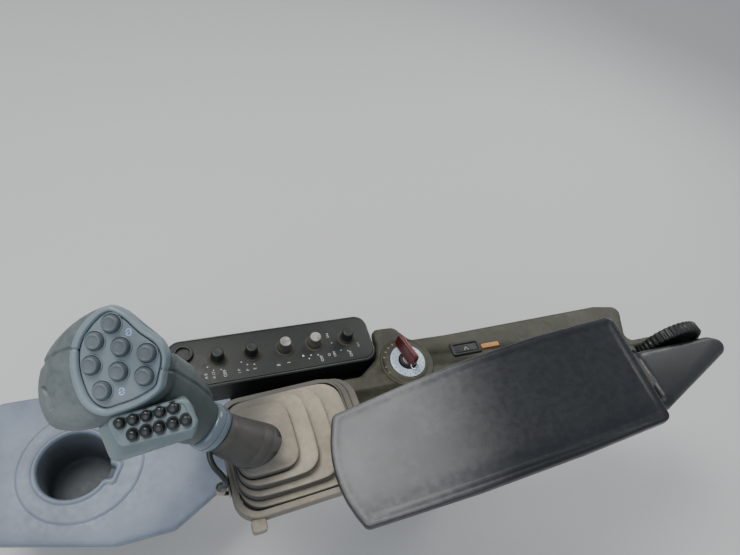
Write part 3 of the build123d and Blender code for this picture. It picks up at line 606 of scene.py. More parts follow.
# rubber boot: stepped bands over the gimbal, split where the two joints meet
boot = {
    "floor": 285, "yaw": 3, "corner": 20, "bow": 1,
    # centre x, y, length, width, lower and upper height of each band
    "bands": ((-245.5, -41, 115, 101, 0, 16), (-257.3, -41, 92.5, 90, 16, 26),
              (-267, -40.5, 72, 79, 26, 36), (-275.8, -43, 52.5, 62, 36, 46)),
    "mouth": (-286.5, -51, 32, 32, 51.6),
    "lean": (-0.4242, 0.1998, 1),
    # share of the way to the next band, drop below the band's upper edge
    "step": ((0, 4.6), (0, 2.4), (0.03, 1.2), (0.09, 0.5), (0.18, 0.2), (0.45, 0.1), (0.75, 0),
             (0.9, 0.2), (0.96, 0.9)),
    "groove": 2.4, "tuck": 2.2, "wall": 1.6,
    # drop below the top band's edge and distance in, then shares of the way to the mouth
    "shoulder": ((4.4, 0), (2.8, 0.5), (1.8, 1.8)), "shares": (0.2, 0.45, 0.7, 0.88),
    # first and last band, bodies and two heights
    "halves": (("bootLower", 0, 2, ("console", "gimbal"), 0.293, 0.3205),
               ("bootUpper", 3, 3, ("gimbal", "stick"), 0.3215, 0.335)),
}


def bootRing(bm, band, drop, shrink=0.0):
    x, y, length, width, height = *band[:4], band[5]
    length, width = length - 2 * shrink, width - 2 * shrink
    corner = min(boot["corner"], min(length, width) / 2 - 1.5)
    return addRing(bm, rectangle(length, width, boot["bow"]), corner,
                   at(x, y, boot["floor"] + height - drop, boot["yaw"]), segments=5)


def makeBootHalf(name, first, last, pair, low, high):
    bm = bmesh.new()
    rings = []
    bands = boot["bands"]
    for i in range(first, last + 1):
        # the first band stands on the frame, the others reach a little into the one below
        band, sink = bands[i], boot["tuck"] if i else 0.0
        rings.append(bootRing(bm, band, band[5] - band[4] + sink, 0.9))
        rings.append(bootRing(bm, band, band[5] - band[4] - 0.8, 0.25))
        if i + 1 == len(bands):
            continue
        for share, drop in boot["step"]:
            mixed = [a * (1 - share) + b * share for a, b in zip(band, bands[i + 1])]
            mixed[5] = band[5]
            rings.append(bootRing(bm, mixed, drop))
        above = (*bands[i + 1][:4], 0, band[5])
        rings.append(bootRing(bm, above, boot["groove"] * 0.6, 0.4))
        rings.append(bootRing(bm, above, boot["groove"], boot["tuck"] * 0.5))
    if last + 1 == len(bands):
        x, y, length, width, height = boot["mouth"]
        turn = Vector((0, 0, 1)).rotation_difference(Vector(boot["lean"])).to_matrix().to_4x4()
        rings += [bootRing(bm, bands[-1], *step) for step in boot["shoulder"]]
        mouth = addRing(bm, rectangle(length, width, 0.4), width / 2 - 1.5,
                        Matrix.Translation((x, y, boot["floor"] + height)) @ turn, segments=5)
        pairs = list(zip(rings[-1], mouth))
        rings += [[bm.verts.new(a.co.lerp(b.co, share)) for a, b in pairs]
                  for share in boot["shares"]]
        rings.append(mouth)
    loft(bm, rings)
    piece = finishPiece(bm, name, "bootRubber", "boot", levels=1, wall=boot["wall"], ride=False)
    bakeModifiers(piece)
    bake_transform(piece)


for half in boot["halves"]:
    makeBootHalf(*half)

# clamping frame: plain wall inboard, two low terraces to the rear
bootFrame = {
    "place": (-245.5, -41), "wall": ((-64, 77.5), 57.5), "corner": 22,
    "lug": (-47, -57.5, 13, 9.5, 9),
    # distance in from the rear edge, distance in on the other sides, height
    "steps": ((0, 0, 0), (0, 0, 3.4), (0.5, 0, 4.6), (1.6, 0, 5.2), (7.6, 0, 6), (8.4, 0, 5),
              (9.2, 0, 5.2), (9.4, 0, 7.6), (10.6, 0.1, 8.6), (15.4, 0.2, 9.4), (16.2, 0.3, 8.4),
              (17, 0.3, 8.8), (17.1, 0.3, 11.2), (17.6, 0.9, 12.4), (18.2, 2, 13),
              (19.2, 5.6, 12.7), (19.4, 6.2, 11.4), (19.4, 6.3, 0)),
}


def formBootFrame():
    bm = bmesh.new()
    (front, back), side = bootFrame["wall"]
    place = at(*bootFrame["place"], boot["floor"], boot["yaw"])
    rings = []
    for short, inward, height in bootFrame["steps"]:
        lead, rear, wide = front + inward, back - short, side - inward
        rings.append(addRing(bm, [(lead, -wide), (rear, -wide), (rear, wide), (lead, wide)],
                             max(bootFrame["corner"] - inward, 4), place @ at(0, 0, height)))
    loft(bm, rings)
    x, y, length, reach, height = bootFrame["lug"]
    addPrism(bm, rectangle(length, reach + 2), 3.0, place @ at(x, y + 1 - reach / 2, 0), height,
             edge=1.6)
    finishPiece(bm, "bootFrame", "frameRubber", "boot_frame", crispAngle=50)


formBootFrame()
print("boot made")


lean = Vector((-0.707, 0.333, 0.626))
crank = Vector((-278.0, -51.0, 334.0))
across, upward = Vector((0.93093, -0.29976, 0.20859)), Vector((0.10960, 0.77418, 0.62340))
outOfFace = Vector((-0.34836, -0.55749, 0.75356))
headCentre = Vector((-382.0, -3.0, 425.0))
neckUp = Vector((0.62297, 0.71149, 0.32511))


def facePlace(lift, x=0.0, y=0.0, turn=0.0):
    axes = Matrix((across, upward, outOfFace)).transposed().to_4x4()
    return Matrix.Translation(headCentre + outOfFace * lift) @ axes @ at(x, y, 0, turn)


# the sleeve and the neck sag a little under the line of the stick
sagWay = Vector((-0.698, -0.478, -0.534))
sag = ((-30, 1.5), (-16, 2.5), (0, 4.2), (20, 7), (34, 8.6), (50, 9.2), (58, 9),
       (68, 7.6), (80, 4.8), (96, 2), (112, 0))


def sagAt(distance):
    for (a, low), (b, high) in zip(sag, sag[1:]):
        if distance <= b:
            return low + (high - low) * (distance - a) / (b - a)
    return 0.0


def neckPlace(distance):
    forward = lean.normalized()
    axes = Matrix((neckUp, forward.cross(neckUp), forward)).transposed().to_4x4()
    return Matrix.Translation(crank + lean * distance + sagWay * sagAt(distance)) @ axes


# rubber sleeve, cut level where it stands on the boot, and the glossy collar above it
sleeve = {
    # radius and distance along the stick
    "profile": ((22.8, -18), (22.3, -10), (21.7, -3), (21.2, 3), (20.95, 3.5),
                (20.95, 4.2), (21, 4.8), (20.3, 12), (20.05, 12.5), (20.05, 13.2), (20.1, 13.8),
                (19.2, 21), (18.2, 30), (17.5, 37), (17, 42.4), (15.9, 43.6), (6.8, 43.7)),
    "seat": (-284, -49, 336.9), "wall": 2.2,
    "collar": ((6.8, 44), (16.2, 44), (17.8, 44.6), (18.7, 46), (19.1, 49), (19.2, 50.2),
               (18.6, 50.4), (18.6, 51.1), (19.2, 51.3), (19.4, 54.4), (19.2, 56.6), (18.4, 57.8),
               (16.8, 58.2), (6.8, 58.2)),
}


def bentTube(bm, profile):
    rings = [circleRing(bm, radius, neckPlace(distance), 72) for radius, distance in profile]
    loft(bm, rings)
    return rings


def formSleeve():
    bm = bmesh.new()
    bentTube(bm, sleeve["profile"])
    bmesh.ops.bisect_plane(bm, geom=bm.verts[:] + bm.edges[:] + bm.faces[:],
                           plane_co=sleeve["seat"], plane_no=boot["lean"], clear_inner=True)
    piece = finishPiece(bm, "sleeveSkin", "sleeveRubber", "sleeve", crispAngle=50,
                        wall=sleeve["wall"], ride=False)
    bakeModifiers(piece)
    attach(piece, "stick")
    bm = bmesh.new()
    rings = bentTube(bm, sleeve["collar"])
    loft(bm, [rings[-1], rings[0]])
    finishPiece(bm, "collarRing", "collarGloss", "collar", crispAngle=50)


formSleeve()

grip = {
    # distance along the stick, half width across and in depth
    "neck": ((57.2, 16.6, 16.6), (60.5, 19, 18.6), (68, 22.2, 21.2), (80, 25, 23.5),
             (96, 27, 25.5), (112, 26, 25)),
    # lift over the head's centre and the outline in the plane of the face
    "head": (
        (-33, ((-4, 17), (-13, 13), (-22, 4), (-28, -5), (-29, -14), (-27, -22), (-22, -27),
               (-14, -28), (-2, -26), (10, -21), (19, -13), (20, -6), (16, 1), (7, 10))),
        (-26, ((-8, 27), (-22, 20), (-34, 8), (-42, -4), (-46, -16), (-44, -32), (-36, -40),
               (-24, -41), (-4, -39), (18, -29), (32, -18), (32, -6), (27, 3), (10, 16))),
        (-12, ((-3, 37), (-22, 31), (-39, 17), (-50, 2), (-55, -16), (-53, -35), (-44, -47),
               (-30, -49), (-7, -46), (24, -33), (40, -20), (40, -4), (35, 8), (18, 22))),
        (0, ((2, 40.5), (-18.7, 33.8), (-36, 20.7), (-47.4, 6), (-53.3, -13), (-51.9, -32.6),
             (-43, -46.8), (-30, -49.4), (-8, -46), (25, -33), (42, -20), (43, -3), (40, 11),
             (24, 27))),
        (8, ((4, 41), (-14.5, 34.6), (-29, 23), (-38, 9), (-42.5, -10), (-40.5, -29), (-33, -41),
             (-21, -44.5), (-4, -42.5), (26, -31), (42, -19.5), (43.6, -3.5), (42.2, 11),
             (27, 25.5))),
        (14, ((5.6, 40.6), (-8.7, 33.2), (-17, 22.5), (-20.8, 11), (-21.4, -2), (-17.1, -19),
              (-12.5, -26.5), (-5.5, -32), (3, -34), (25, -26), (40, -16.5), (43, -4), (43.2, 11),
              (28, 25.6))),
    ),
    "voxel": 0.0009, "smoothing": 12,
    # the line where the two mouldings meet, and the slit at the head's tip, both as they are
    # seen from the driver's eye on the plane through the head's centre
    "partLine": ((-46, -9), (-42.5, -3), (-39.7, 0.6), (-35.8, 5.3), (-30.3, 8.5), (-24.9, 10.8),
                 (-21, 11.8), (-15.1, 11.2), (40.3, -1.5), (51.8, -3.7), (66.4, -12.8),
                 (77.4, -21.9), (84, -31)),
    "seamWidth": 1.15, "seamDepth": 1.2,
    "slit": ((-38.4, -15.6), (-36.6, -20), (-34.9, -24.5), (-33.4, -29.4)), "slitWidth": 1.9,
    "slitDepth": 4, "slitFrom": -31,
    "eye": (183.5, 59.3, 380), "eyeScale": 362,
}


def pathDistance(x, y, path):
    best = 1e9
    for (ax, ay), (bx, by) in zip(path, path[1:]):
        dx, dy = bx - ax, by - ay
        share = max(0.0, min(1.0, ((x - ax) * dx + (y - ay) * dy) / (dx * dx + dy * dy)))
        best = min(best, ((x - ax - dx * share) ** 2 + (y - ay - dy * share) ** 2) ** 0.5)
    return best


def formGrip():
    bm = bmesh.new()
    rings = [circleRing(bm, 1, neckPlace(distance) @ Matrix.Diagonal((halfUp, halfDeep, 1, 1)), 28)
             for distance, halfUp, halfDeep in grip["neck"]]
    loft(bm, rings, True, True)
    rings = [addRing(bm, smoothOutline(outline), 0, facePlace(lift))
             for lift, outline in grip["head"]]
    loft(bm, rings, True, True)
    piece = finishPiece(bm, "gripBody", "gripPlastic", "grip_outer grip_inner", ride=False)
    melt = piece.modifiers.new("melt", "REMESH")
    melt.mode, melt.voxel_size = "VOXEL", grip["voxel"]
    ease = piece.modifiers.new("ease", "SMOOTH")
    ease.factor, ease.iterations = 0.5, grip["smoothing"]
    bakeModifiers(piece)
    pressSeams(piece)
    for face in piece.data.polygons:
        face.use_smooth = True
    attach(piece, "stick")


def pressSeams(piece):
    # press the seam and the slit into the surface
    backwards = facePlace(0).inverted()
    eyeX, eyeY, eyeRise = grip["eye"]
    moves = []
    for v in piece.data.vertices:
        here = backwards @ (v.co * 1000)
        near = grip["eyeScale"] / (eyeRise - here.z)
        x, y = here.x * near + (1 - near) * eyeX, here.y * near + (1 - near) * eyeY
        push = 0.0
        away = pathDistance(x, y, grip["partLine"])
        if away < grip["seamWidth"]:
            push = grip["seamDepth"] * (1 - (away / grip["seamWidth"]) ** 2)
        away = pathDistance(x, y, grip["slit"])
        if away < grip["slitWidth"] and here.z > grip["slitFrom"]:
            push = max(push, grip["slitDepth"] * (1 - (away / grip["slitWidth"]) ** 2))
        if push:
            moves.append((v, v.normal.copy() * (-push * 0.001)))
    for v, move in moves:
        v.co += move


formGrip()
print("grip formed")

facePlate = {
    "panel": ((5.6, 37), (11.4, 35), (26.5, 22.8), (38.5, 13.2), (41, 8), (39.6, -6),
              (37.2, -13.8), (32.5, -17.5), (12.7, -26.5), (1.7, -28.8), (-4.5, -25.6),
              (-8.4, -20.8), (-11.6, -13.6), (-13.9, -6.4), (-15.2, 3), (-14.8, 11.6),
              (-13.2, 17.2), (-9.3, 24.3), (-3.9, 30.9), (1.3, 35.4)),
    "bezel": ((5.6, 41.2), (13.1, 38.7), (28.9, 25.5), (42, 15.8), (44.8, 9.5), (43.2, -7),
              (40.8, -16.4), (36, -21), (13.5, -31.8), (1.7, -34.4), (-6, -32.2), (-12.8, -27),
              (-17.4, -19), (-20.4, -9.3), (-21.8, 0.5), (-21.2, 10.5), (-19.4, 17.5), (-15.2, 26),
              (-8.9, 33.4), (-1.5, 39)),
    # share of the way from the panel's edge to the bezel's, lift
    "rim": ((1.1, 11.5), (1.05, 14), (1, 15.8), (0.92, 17), (0.8, 17.8), (0.62, 18.3),
            (0.42, 18.4), (0.22, 18.1), (0.08, 17.4), (0, 16.2)),
    "panelRim": ((0, 15.2), (0.7, 15.2), (0.8, 16.3), (1.15, 16.9), (1.9, 17), (2.6, 16.9)),
    "marks": ((19, 23.1), (14.3, -17.3)), "markLift": 16.9,
    # half of a turning arrow: x, y, length and turn of each stroke
    "strokes": ((-1.4, 1.3, 2.6, 62), (0.2, 2.2, 2.2, 8), (1.5, 1.5, 1.9, -62),
                (0.9, 0.5, 1.5, 12)),
    # width, corner and height of a stroke
    "ink": (0.75, 0.3, 0.14),
}


def formFacePlate():
    panel, bezel = [smoothOutline(facePlate[name], 12) for name in ("panel", "bezel")]
    bm = bmesh.new()
    rings = [addRing(bm, between(panel, bezel, share), 0, facePlace(lift))
             for share, lift in facePlate["rim"]]
    loft(bm, rings)
    # the bezel's lighter finish paints the highlight along the face's rounded edge
    piece = finishPiece(bm, "faceBezel", "rimHighlightPlastic", "grip_outer", crispAngle=65, ride=False)
    pressSeams(piece)
    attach(piece, "stick")
    stackPiece("facePlate", "panelPlastic", "face_panel", panel, facePlate["panelRim"],
               facePlace(0), ease=0, caps=(False, True), crispAngle=60)
    strokes = [(facePlace(facePlate["markLift"], x, y, side) @ at(dx, dy, 0, turn), length)
               for x, y in facePlate["marks"] for side in (0, 180)
               for dx, dy, length, turn in facePlate["strokes"]]
    printMarks("faceMarks", "printBlue", strokes, *facePlate["ink"], like="face_buttons",
               crispAngle=40)


formFacePlate()

button = {
    "places": ((7.3, 29), (-3.9, 17.1), (13.9, 13.1), (31.7, 9), (-6.2, 0.6), (12.4, -3.6),
               (30.1, -6.7), (1.3, -16.6)),
    "base": 16.9,
    "ring": ((7.7, -0.4), (7.65, 0.3), (7.45, 0.7), (7.15, 0.8), (6.85, 0.6), (6.7, 0.1),
             (6.65, -0.4)),
    "cap": ((6.45, -0.4), (6.35, 1), (6, 2.4), (5.65, 3.5), (5.2, 4.25), (4.6, 4.55),
            (4.1, 4.5), (3.7, 4.25), (3, 4), (0, 3.85)),
}


def formButtons():
    places = [facePlace(button["base"], x, y) for x, y in button["places"]]
    # the rings' lighter finish paints the highlight on their rims
    for name, look, profile in (("buttonRings", "rimHighlightPlastic", button["ring"]),
                                ("buttonCaps", "buttonPlastic", button["cap"])):
        spunPiece(name, look, profile, places, 40, "face_buttons", 48)


formButtons()

keypad = {
    "outlines": ((-20, ((-4, -28), (42, -17), (54, -38), (4, -55))),
                 (-8, ((-9, -39), (48, -24), (60, -47), (1, -67))),
                 (2, ((-11.5, -42.5), (52, -27), (63.5, -51.5), (0.5, -72))),
                 (8, ((-5.5, -40), (54, -25.5), (65, -49), (6, -65)))),
    "top": ((1, -37), (56.5, -23), (65.8, -43.5), (11, -57)),
    "lift": 14,
    # distance out, height over the top and corner of the rounded upper edge
    "edge": ((0.8, -3, 6), (0.3, -1, 5.5), (-0.3, -0.2, 5.2), (-1.2, 0, 4.6), (-1.9, -0.1, 4.2),
             (-2.4, -0.6, 4), (-3.4, -0.7, 3.5)),
    "rows": ((11.4, -39.6), (20.3, -47.8)), "step": (9.25, 2.6),
    "dome": ((5, -0.3), (5, 0.1), (4.6, 0.35), (4, 0.3), (3.85, 0.7), (3.7, 2.2), (3.2, 3.3),
             (2.4, 3.9), (1.3, 4.15), (0, 4.2)),
}


def formKeypad():
    bm = bmesh.new()
    rings = [addRing(bm, outline, 7.0, facePlace(lift)) for lift, outline in keypad["outlines"]]
    lift = keypad["lift"]
    for grow, drop, corner in keypad["edge"]:
        outline = insetOutline(keypad["top"], -grow)
        rings.append(addRing(bm, outline, corner, facePlace(lift + drop)))
    loft(bm, rings, True, True)
    finishPiece(bm, "keypadBody", "keypadPlastic", like="grip_outer", crispAngle=50)
    stepX, stepY = keypad["step"]
    spots = [facePlace(lift - 0.6, x + i * stepX, y + i * stepY)
             for x, y in keypad["rows"] for i in range(5)]
    spunPiece("keypadDomes", "domeRubber", keypad["dome"], spots, 28, "keypad_domes", 38)


formKeypad()
print("buttons and keypad set")


# armrest pad: moulded foam skin with a rolled lip along its inboard edge
armrest = {
    "front": (-211.2, -83, 334.5), "slope": 16.2, "length": 290, "width": 118, "thick": 18,
    "outline": ((-2.5, 46), (60, 52.5), (125, 58), (205, 59.5), (290, 55.5), (284, -54),
                (200, -57.5), (100, -58.5), (-0.5, -56), (-6.4, -43.2), (-10.7, -30.5),
                (-13.2, -17.8), (-14, -5), (-13.3, 7.8), (-11.2, 20.5), (-7.4, 33.2)),
    # the dish and the channel change what lies above this, inside these edges
    "topFrom": -1.2, "sideEdge": 6, "endEdge": 3,
    "corner": 6, "dish": 2.4, "channel": 2.6, "channelAt": -50, "sharp": 2.8, "broad": 9.5,
    "edge": ((14, -18), (4.5, -18), (1.8, -17), (0.5, -14.6), (0, -11), (0, -6),
             (0.5, -3), (1.6, -1.1), (3.2, -0.2), (5.2, 0), (7.4, -0.25), (10, -0.8)),
    "acrossLines": (-55.5, -54, -52.5, -51, -49.5, -47.5, -45, -41, -36, -30, -22, -12, 0, 12,
                    24, 34, 42, 48),
    "alongLines": (6, 12, 20, *range(32, 262, 22), 270, 277),
}


def armrestPlace():
    slope = radians(armrest["slope"])
    axes = Matrix(((cos(slope), 0, sin(slope)), (0, 1, 0), (-sin(slope), 0, cos(slope))))
    return Matrix.Translation(armrest["front"]) @ axes.transposed().to_4x4()


def formArmrest():
    length, wide = armrest["length"], armrest["width"] / 2
    bm = bmesh.new()
    loft(bm, addStack(bm, armrest["outline"], armrest["edge"], at(0, 0, 0), armrest["corner"], 4,
                      0.4, 2), True, True)
    # lines along and across, for the shallow dish and the channel beside the lip
    for way, distances in (((0, 1, 0), armrest["acrossLines"]), ((1, 0, 0), armrest["alongLines"])):
        for distance in distances:
            bmesh.ops.bisect_plane(bm, geom=bm.verts[:] + bm.edges[:] + bm.faces[:],
                                   plane_co=Vector(way) * distance, plane_no=way)
    for v in bm.verts:
        if v.co.z > armrest["topFrom"]:
            side = min(1.0, abs(v.co.y) / (wide - armrest["sideEdge"]))
            end = min(1.0, abs(v.co.x - length / 2) / (length / 2 - armrest["endEdge"]))
            v.co.z -= armrest["dish"] * (1 - side ** 2) * (1 - end ** 4)
            beside = v.co.y - armrest["channelAt"]
            beside /= armrest["sharp"] if beside < 0 else armrest["broad"]
            v.co.z -= armrest["channel"] * exp(-beside * beside) * (1 - end ** 16)
    bmesh.ops.transform(bm, matrix=armrestPlace(), verts=bm.verts)
    piece = finishPiece(bm, "armrestPad", "padSkin", "armrest_pad", levels=1)
    bakeModifiers(piece)


formArmrest()
print("armrest made")


# tray: moulded shell, a step and slope round the cup well, and a rolled lip with a handle notch
tray = {
    "outline": ((-555, -10), (-555, 150), (-262, 150), (-262, 2), (-312, -14), (-362, -43),
                (-425, -44)),
    "top": 120, "corner": 16, "wall": 2.8,
    "edge": ((4, -26), (1, -9), (0.5, -5.5), (0.6, -3.6), (1.3, -1.8), (2.7, -0.6), (4.6, 0)),
    "cup": (-463.5, 53.5), "bore": 38,
    # reach from the bore's middle, half width and turn of the notch
    "notch": (45, 7.5, -24),
    # distance out from the bore's edge and height over the tray's top
    "lip": ((0, -4), (0.2, -1), (0.9, 1.2), (2, 2.9), (3.4, 3.5), (4.8, 3.2), (6, 2.2),
            (6.8, 1.2)),
    # radius and height down the well's wall to its floor
    "well": ((38, -10.5), (37.8, -24), (37.6, -46), (37.4, -66), (36.4, -69.6), (34, -71.6),
             (30, -72)),
    # radius, height and shift to the rear of the slope round the lip
    "slope": ((50.5, 0.7, 1.5), (56, 0.9, 4), (62.5, 1.5, 7.5), (65, 1.7, 8),
              (66.2, 0.9, 8), (67.2, -0.1, 8)),
}


def boreOutline():
    # round bore with a slot towards the notch
    (reach, half), radius = tray["notch"][:2], tray["bore"]
    points = [(radius * cos(radians(a)), radius * sin(radians(a))) for a in range(28, 333, 4)]
    mouth = (radius * radius - half * half) ** 0.5
    return points + [(mouth, -half), (reach, -half), (reach, half), (mouth, half)]


def formTray():
    cup = at(*tray["cup"], tray["top"], tray["notch"][2])
    bore = boreOutline()

    def boreRing(grow, height):
        return addRing(bm, insetOutline(bore, -grow), 5.0, cup @ at(0, 0, height), 4)

    def roundRing(radius, height, shift=0.0):
        # the bore's corners drawn out to a circle
        ring = boreRing(0, 0)
        for v in ring:
            here = cup.inverted() @ v.co
            here.z = 0
            here = here.normalized() * radius + Vector((0, 0, height))
            v.co = cup @ here + Vector((shift, 0, 0))
        return ring

    def wallPiece(name, look, offset):
        piece = finishPiece(bm, name, look, "tray", crispAngle=40, ride=False)
        addWall(piece, tray["wall"], offset)
        bakeModifiers(piece)
        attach(piece, "console")

    bm = bmesh.new()
    rings = addStack(bm, tray["outline"], tray["edge"], at(0, 0, tray["top"]), tray["corner"], 8, 0)
    # flat top, from the rounded edge in to the step round the cup
    rings += [roundRing(*step) for step in tray["slope"][::-1]]
    rings += [boreRing(*step) for step in tray["lip"][::-1]]
    loft(bm, rings)
    wallPiece("trayShell", "trayPlastic", -1)
    # the well's wall and floor, darker with painted shade and worn inside
    bm = bmesh.new()
    rings = [boreRing(0.05, -3.4), boreRing(0.0, -7.0)]
    rings += [roundRing(*step) for step in tray["well"]]
    loft(bm, rings, False, True)
    wallPiece("trayWell", "wellShadedPlastic", 1)


formTray()
print("tray made")


# pod: thin moulded top with a rolled edge
pod = {
    "outline": ((-300, -92), (-300, 21), (-157, 21), (-134, 38), (-129, 56), (-129, 77),
                (-98, 76), (-84, 56), (-40, 55), (190, 60), (233, 53), (208, 2), (316, 2),
                (336, -40), (205, -97), (30, -102), (-50, -92)),
    "top": 285, "corner": 9, "wall": 3.5,
    "edge": ((8.98, -36), (2.6, -11), (1.6, -8.6), (1.2, -6.8), (1.4, -4.8), (2.4, -2.9),
             (4.2, -1.4), (6.4, -0.5), (8.8, 0)),
    # openings: middle, length, width, corner
    "well": (-248, -41, 106, 82, 16),
    "wheelSlot": (250, -20, 87, 17, 2),
    "lock": (-100, 25),
    # boss round the lock: shallow dished ring with its scale
    "boss": ((31.4, -0.6), (31, 0.5), (30.2, 1.3), (29.2, 1.6), (28.4, 1.2), (27.8, 0.7),
             (24.6, 0.8), (23.2, 1.5), (22.2, 2.3), (21.4, 2.4), (10.2, 2.4), (10.2, -3.4)),
    # plate that ties the switch box to the pod and, in dark paint, stands in for the shade in the
    # gap between them: middle, underside, length, width, thickness
    "bracket": (-144, 41, 245.4, 60, 58, 3.8),
    # cross ribs under the top: place along the pod, from and to across it; then the height of
    # their middle, their thickness and depth
    "ribs": ((-140, 6, 14), (-60, 4, 42), (180, -88, 50), (200, -86, 48), (302, -44, -6)),
    "rib": (270, 2.4, 23.4),
}


def formPod():
    piece = stackPiece("podShell", "podPlastic", "pod_shell", pod["outline"], pod["edge"],
                       at(0, 0, pod["top"]), pod["corner"], ease=0, caps=(False, True),
                       crispAngle=40, wall=pod["wall"], ride=False)
    cutter = bmesh.new()
    for x, y, length, width, corner in (pod["well"], pod["wheelSlot"]):
        addPrism(cutter, rectangle(length, width), corner, at(x, y, pod["top"] - 8), 16)
    spinProfile(cutter, ((0, -8), (10.1, -8), (10.1, 8), (0, 8)), at(*pod["lock"], pod["top"]), 48)
    tool = finishPiece(cutter, "podCutter", "podPlastic")
    cut = piece.modifiers.new("openings", "BOOLEAN")
    cut.object, cut.operation, cut.solver = tool, "DIFFERENCE", "EXACT"
    bakeModifiers(piece)
    spare = tool.data
    bpy.data.objects.remove(tool)
    bpy.data.meshes.remove(spare)
    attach(piece, "console")
    spunPiece("lockBoss", "podPlastic", pod["boss"], [at(*pod["lock"], pod["top"])], 72,
              "pod_shell", 50)
    bm = bmesh.new()
    level, thick, deep = pod["rib"]
    for x, low, high in pod["ribs"]:
        shape = Matrix.Diagonal((thick, high - low, deep, 1))
        bmesh.ops.create_cube(bm, size=1, matrix=at(x, (low + high) / 2, level) @ shape)
    finishPiece(bm, "podRibs", "podPlastic", like="pod_shell")
    # dark plate that stands in for the shade between the switch box and the pod
    bm = bmesh.new()
    length, width, height = pod["bracket"][3:]
    addPrism(bm, rectangle(length, width), 5.0, at(*pod["bracket"][:3]), height, edge=0.8)
    finishPiece(bm, "boxGapShadePlate", "standPaint", like="box_rail", crispAngle=40)


formPod()
print("pod made")


# switch box: deep dark housing, flush fascia with a rolled rim, five knobs and printed marks; its
# socket is one of the plain pieces
switchBox = {
    "middle": (-241, 64.75), "length": 218, "width": 58.5, "corner": 14,
    "top": 288, "wordHeight": 0.06, "wordLift": 0.05,
    "wall": ((9, -39), (5, -39), (2.2, -38), (0.7, -35.5), (0.2, -32), (0, -4),
             (0.2, -1.6), (0.9, -0.5), (1.7, -0.3), (2, -1.2), (2.1, -3)),
    "rim": ((-0.1, -2.4), (0.1, -1.4), (0.7, -0.35), (1.3, -0.05), (1.9, -0.3), (2.05, -1.2)),
    "fascia": ((2.2, -2.2), (2.25, -0.7), (2.6, -0.15), (3.2, 0)),
    # knobs 3 and 4 are pale with dust and painted sunlight
    "knobs": (-301, -266.5, -231, -198, -161), "knobY": 66, "dustyAndLit": (2, 3),
    "ring": ((0, 0), (10.3, 0), (10.2, 0.3), (9.6, 0.45), (8.6, 0.5), (8.1, 0.4), (7.9, 0.5),
             (7.5, 2.4), (6.9, 3), (0, 3)),
    "knob": ((6.9, 2.6), (6.85, 4.2), (6.3, 5.2), (6.15, 12.4), (5.8, 13.5), (5, 14),
             (3.4, 13.8), (0, 13.7)),
    # printed dots with their radius, and short words that read across the box with their size
    "dots": ((-312.1, 57.8, 0.8), (-306.5, 53.1, 0.7), (-299.3, 52.5, 0.7), (-278.2, 57.2, 0.8),
             (-272.7, 53.2, 0.8), (-265.7, 52.2, 0.8), (-213.4, 52.7, 1.3), (-204.9, 52, 0.8),
             (-207.8, 48.2, 0.8), (-197.3, 50.9, 0.8), (-178.7, 62.9, 0.7), (-170.9, 51.9, 0.7),
             (-163.6, 50, 0.7)),
    "words": (("A 8", -314.4, 47.6, 4.2), ("A 17", -306.8, 47.6, 4.2),
              ("OFF", -295.8, 47.6, 4.8), ("1 P", -281.5, 47, 4.2), ("P", -273, 47, 4.4),
              ("E", -265.8, 47.2, 4.4), ("II", -241, 46.6, 5.4), ("I", -230, 47.6, 5.4),
              ("OFF", -194.1, 45.9, 4.4), ("O", -184.9, 49, 4.4), ("OFF", -179, 48.8, 4),
              ("ON", -180.7, 73, 3.8), ("OFF", -161, 46, 4.4), ("12 V", -149.6, 55.5, 3.2)),
}


def formSwitchBox():
    outline = rectangle(switchBox["length"], switchBox["width"])
    place = at(*switchBox["middle"], switchBox["top"])
    # the rim's lighter grey is a painted highlight along the box's upper edge, partly worn edge
    for name, look, levels, node, caps in (
            ("switchHousing", "blackPlastic", switchBox["wall"], "switch_box", (True, False)),
            ("switchRim", "edgeHighlightPlastic", switchBox["rim"], "switch_box", (False, False)),
            ("switchFascia", "blackPlastic", switchBox["fascia"], "switch_fascia", (True, True))):
        stackPiece(name, look, node, outline, levels, place, switchBox["corner"], 8, least=4.0,
                   caps=caps, crispAngle=50)
    # two of the caps get a pale finish of dust and painted sunlight
    for name, look, profile, chosen in (
            ("knobRings", "dustRing", switchBox["ring"], range(5)),
            ("knobCaps", "blackPlastic", switchBox["knob"], (0, 1, 4)),
            ("knobCapsLit", "knobSunAndDust", switchBox["knob"], switchBox["dustyAndLit"])):
        spots = [at(switchBox["knobs"][i], switchBox["knobY"], switchBox["top"]) for i in chosen]
        spunPiece(name, look, profile, spots, 40, "panel_knobs")
    bm = bmesh.new()
    for x, y, radius in switchBox["dots"]:
        profile = ((radius, 0), (radius * 0.8, 0.12), (0, 0.14))
        spinProfile(bm, profile, at(x, y, switchBox["top"]), 12)
    finishPiece(bm, "knobDots", "printWhite", like="panel_knobs", crispAngle=30)
    bm = bmesh.new()
    for text, x, y, size in switchBox["words"]:
        data = bpy.data.curves.new("word", "FONT")
        data.body, data.size, data.align_x, data.align_y = text, size, "CENTER", "CENTER"
        data.extrude, data.resolution_u = switchBox["wordHeight"], 3
        holder = bpy.data.objects.new("word", data)
        mesh = bpy.data.meshes.new_from_object(holder)
        mesh.transform(at(x, y, switchBox["top"] + switchBox["wordLift"], 90))
        bm.from_mesh(mesh)
        bpy.data.objects.remove(holder)
        bpy.data.meshes.remove(mesh)
    finishPiece(bm, "knobWords", "printWhite", like="panel_knobs", crispAngle=30)


formSwitchBox()
print("switch box made")


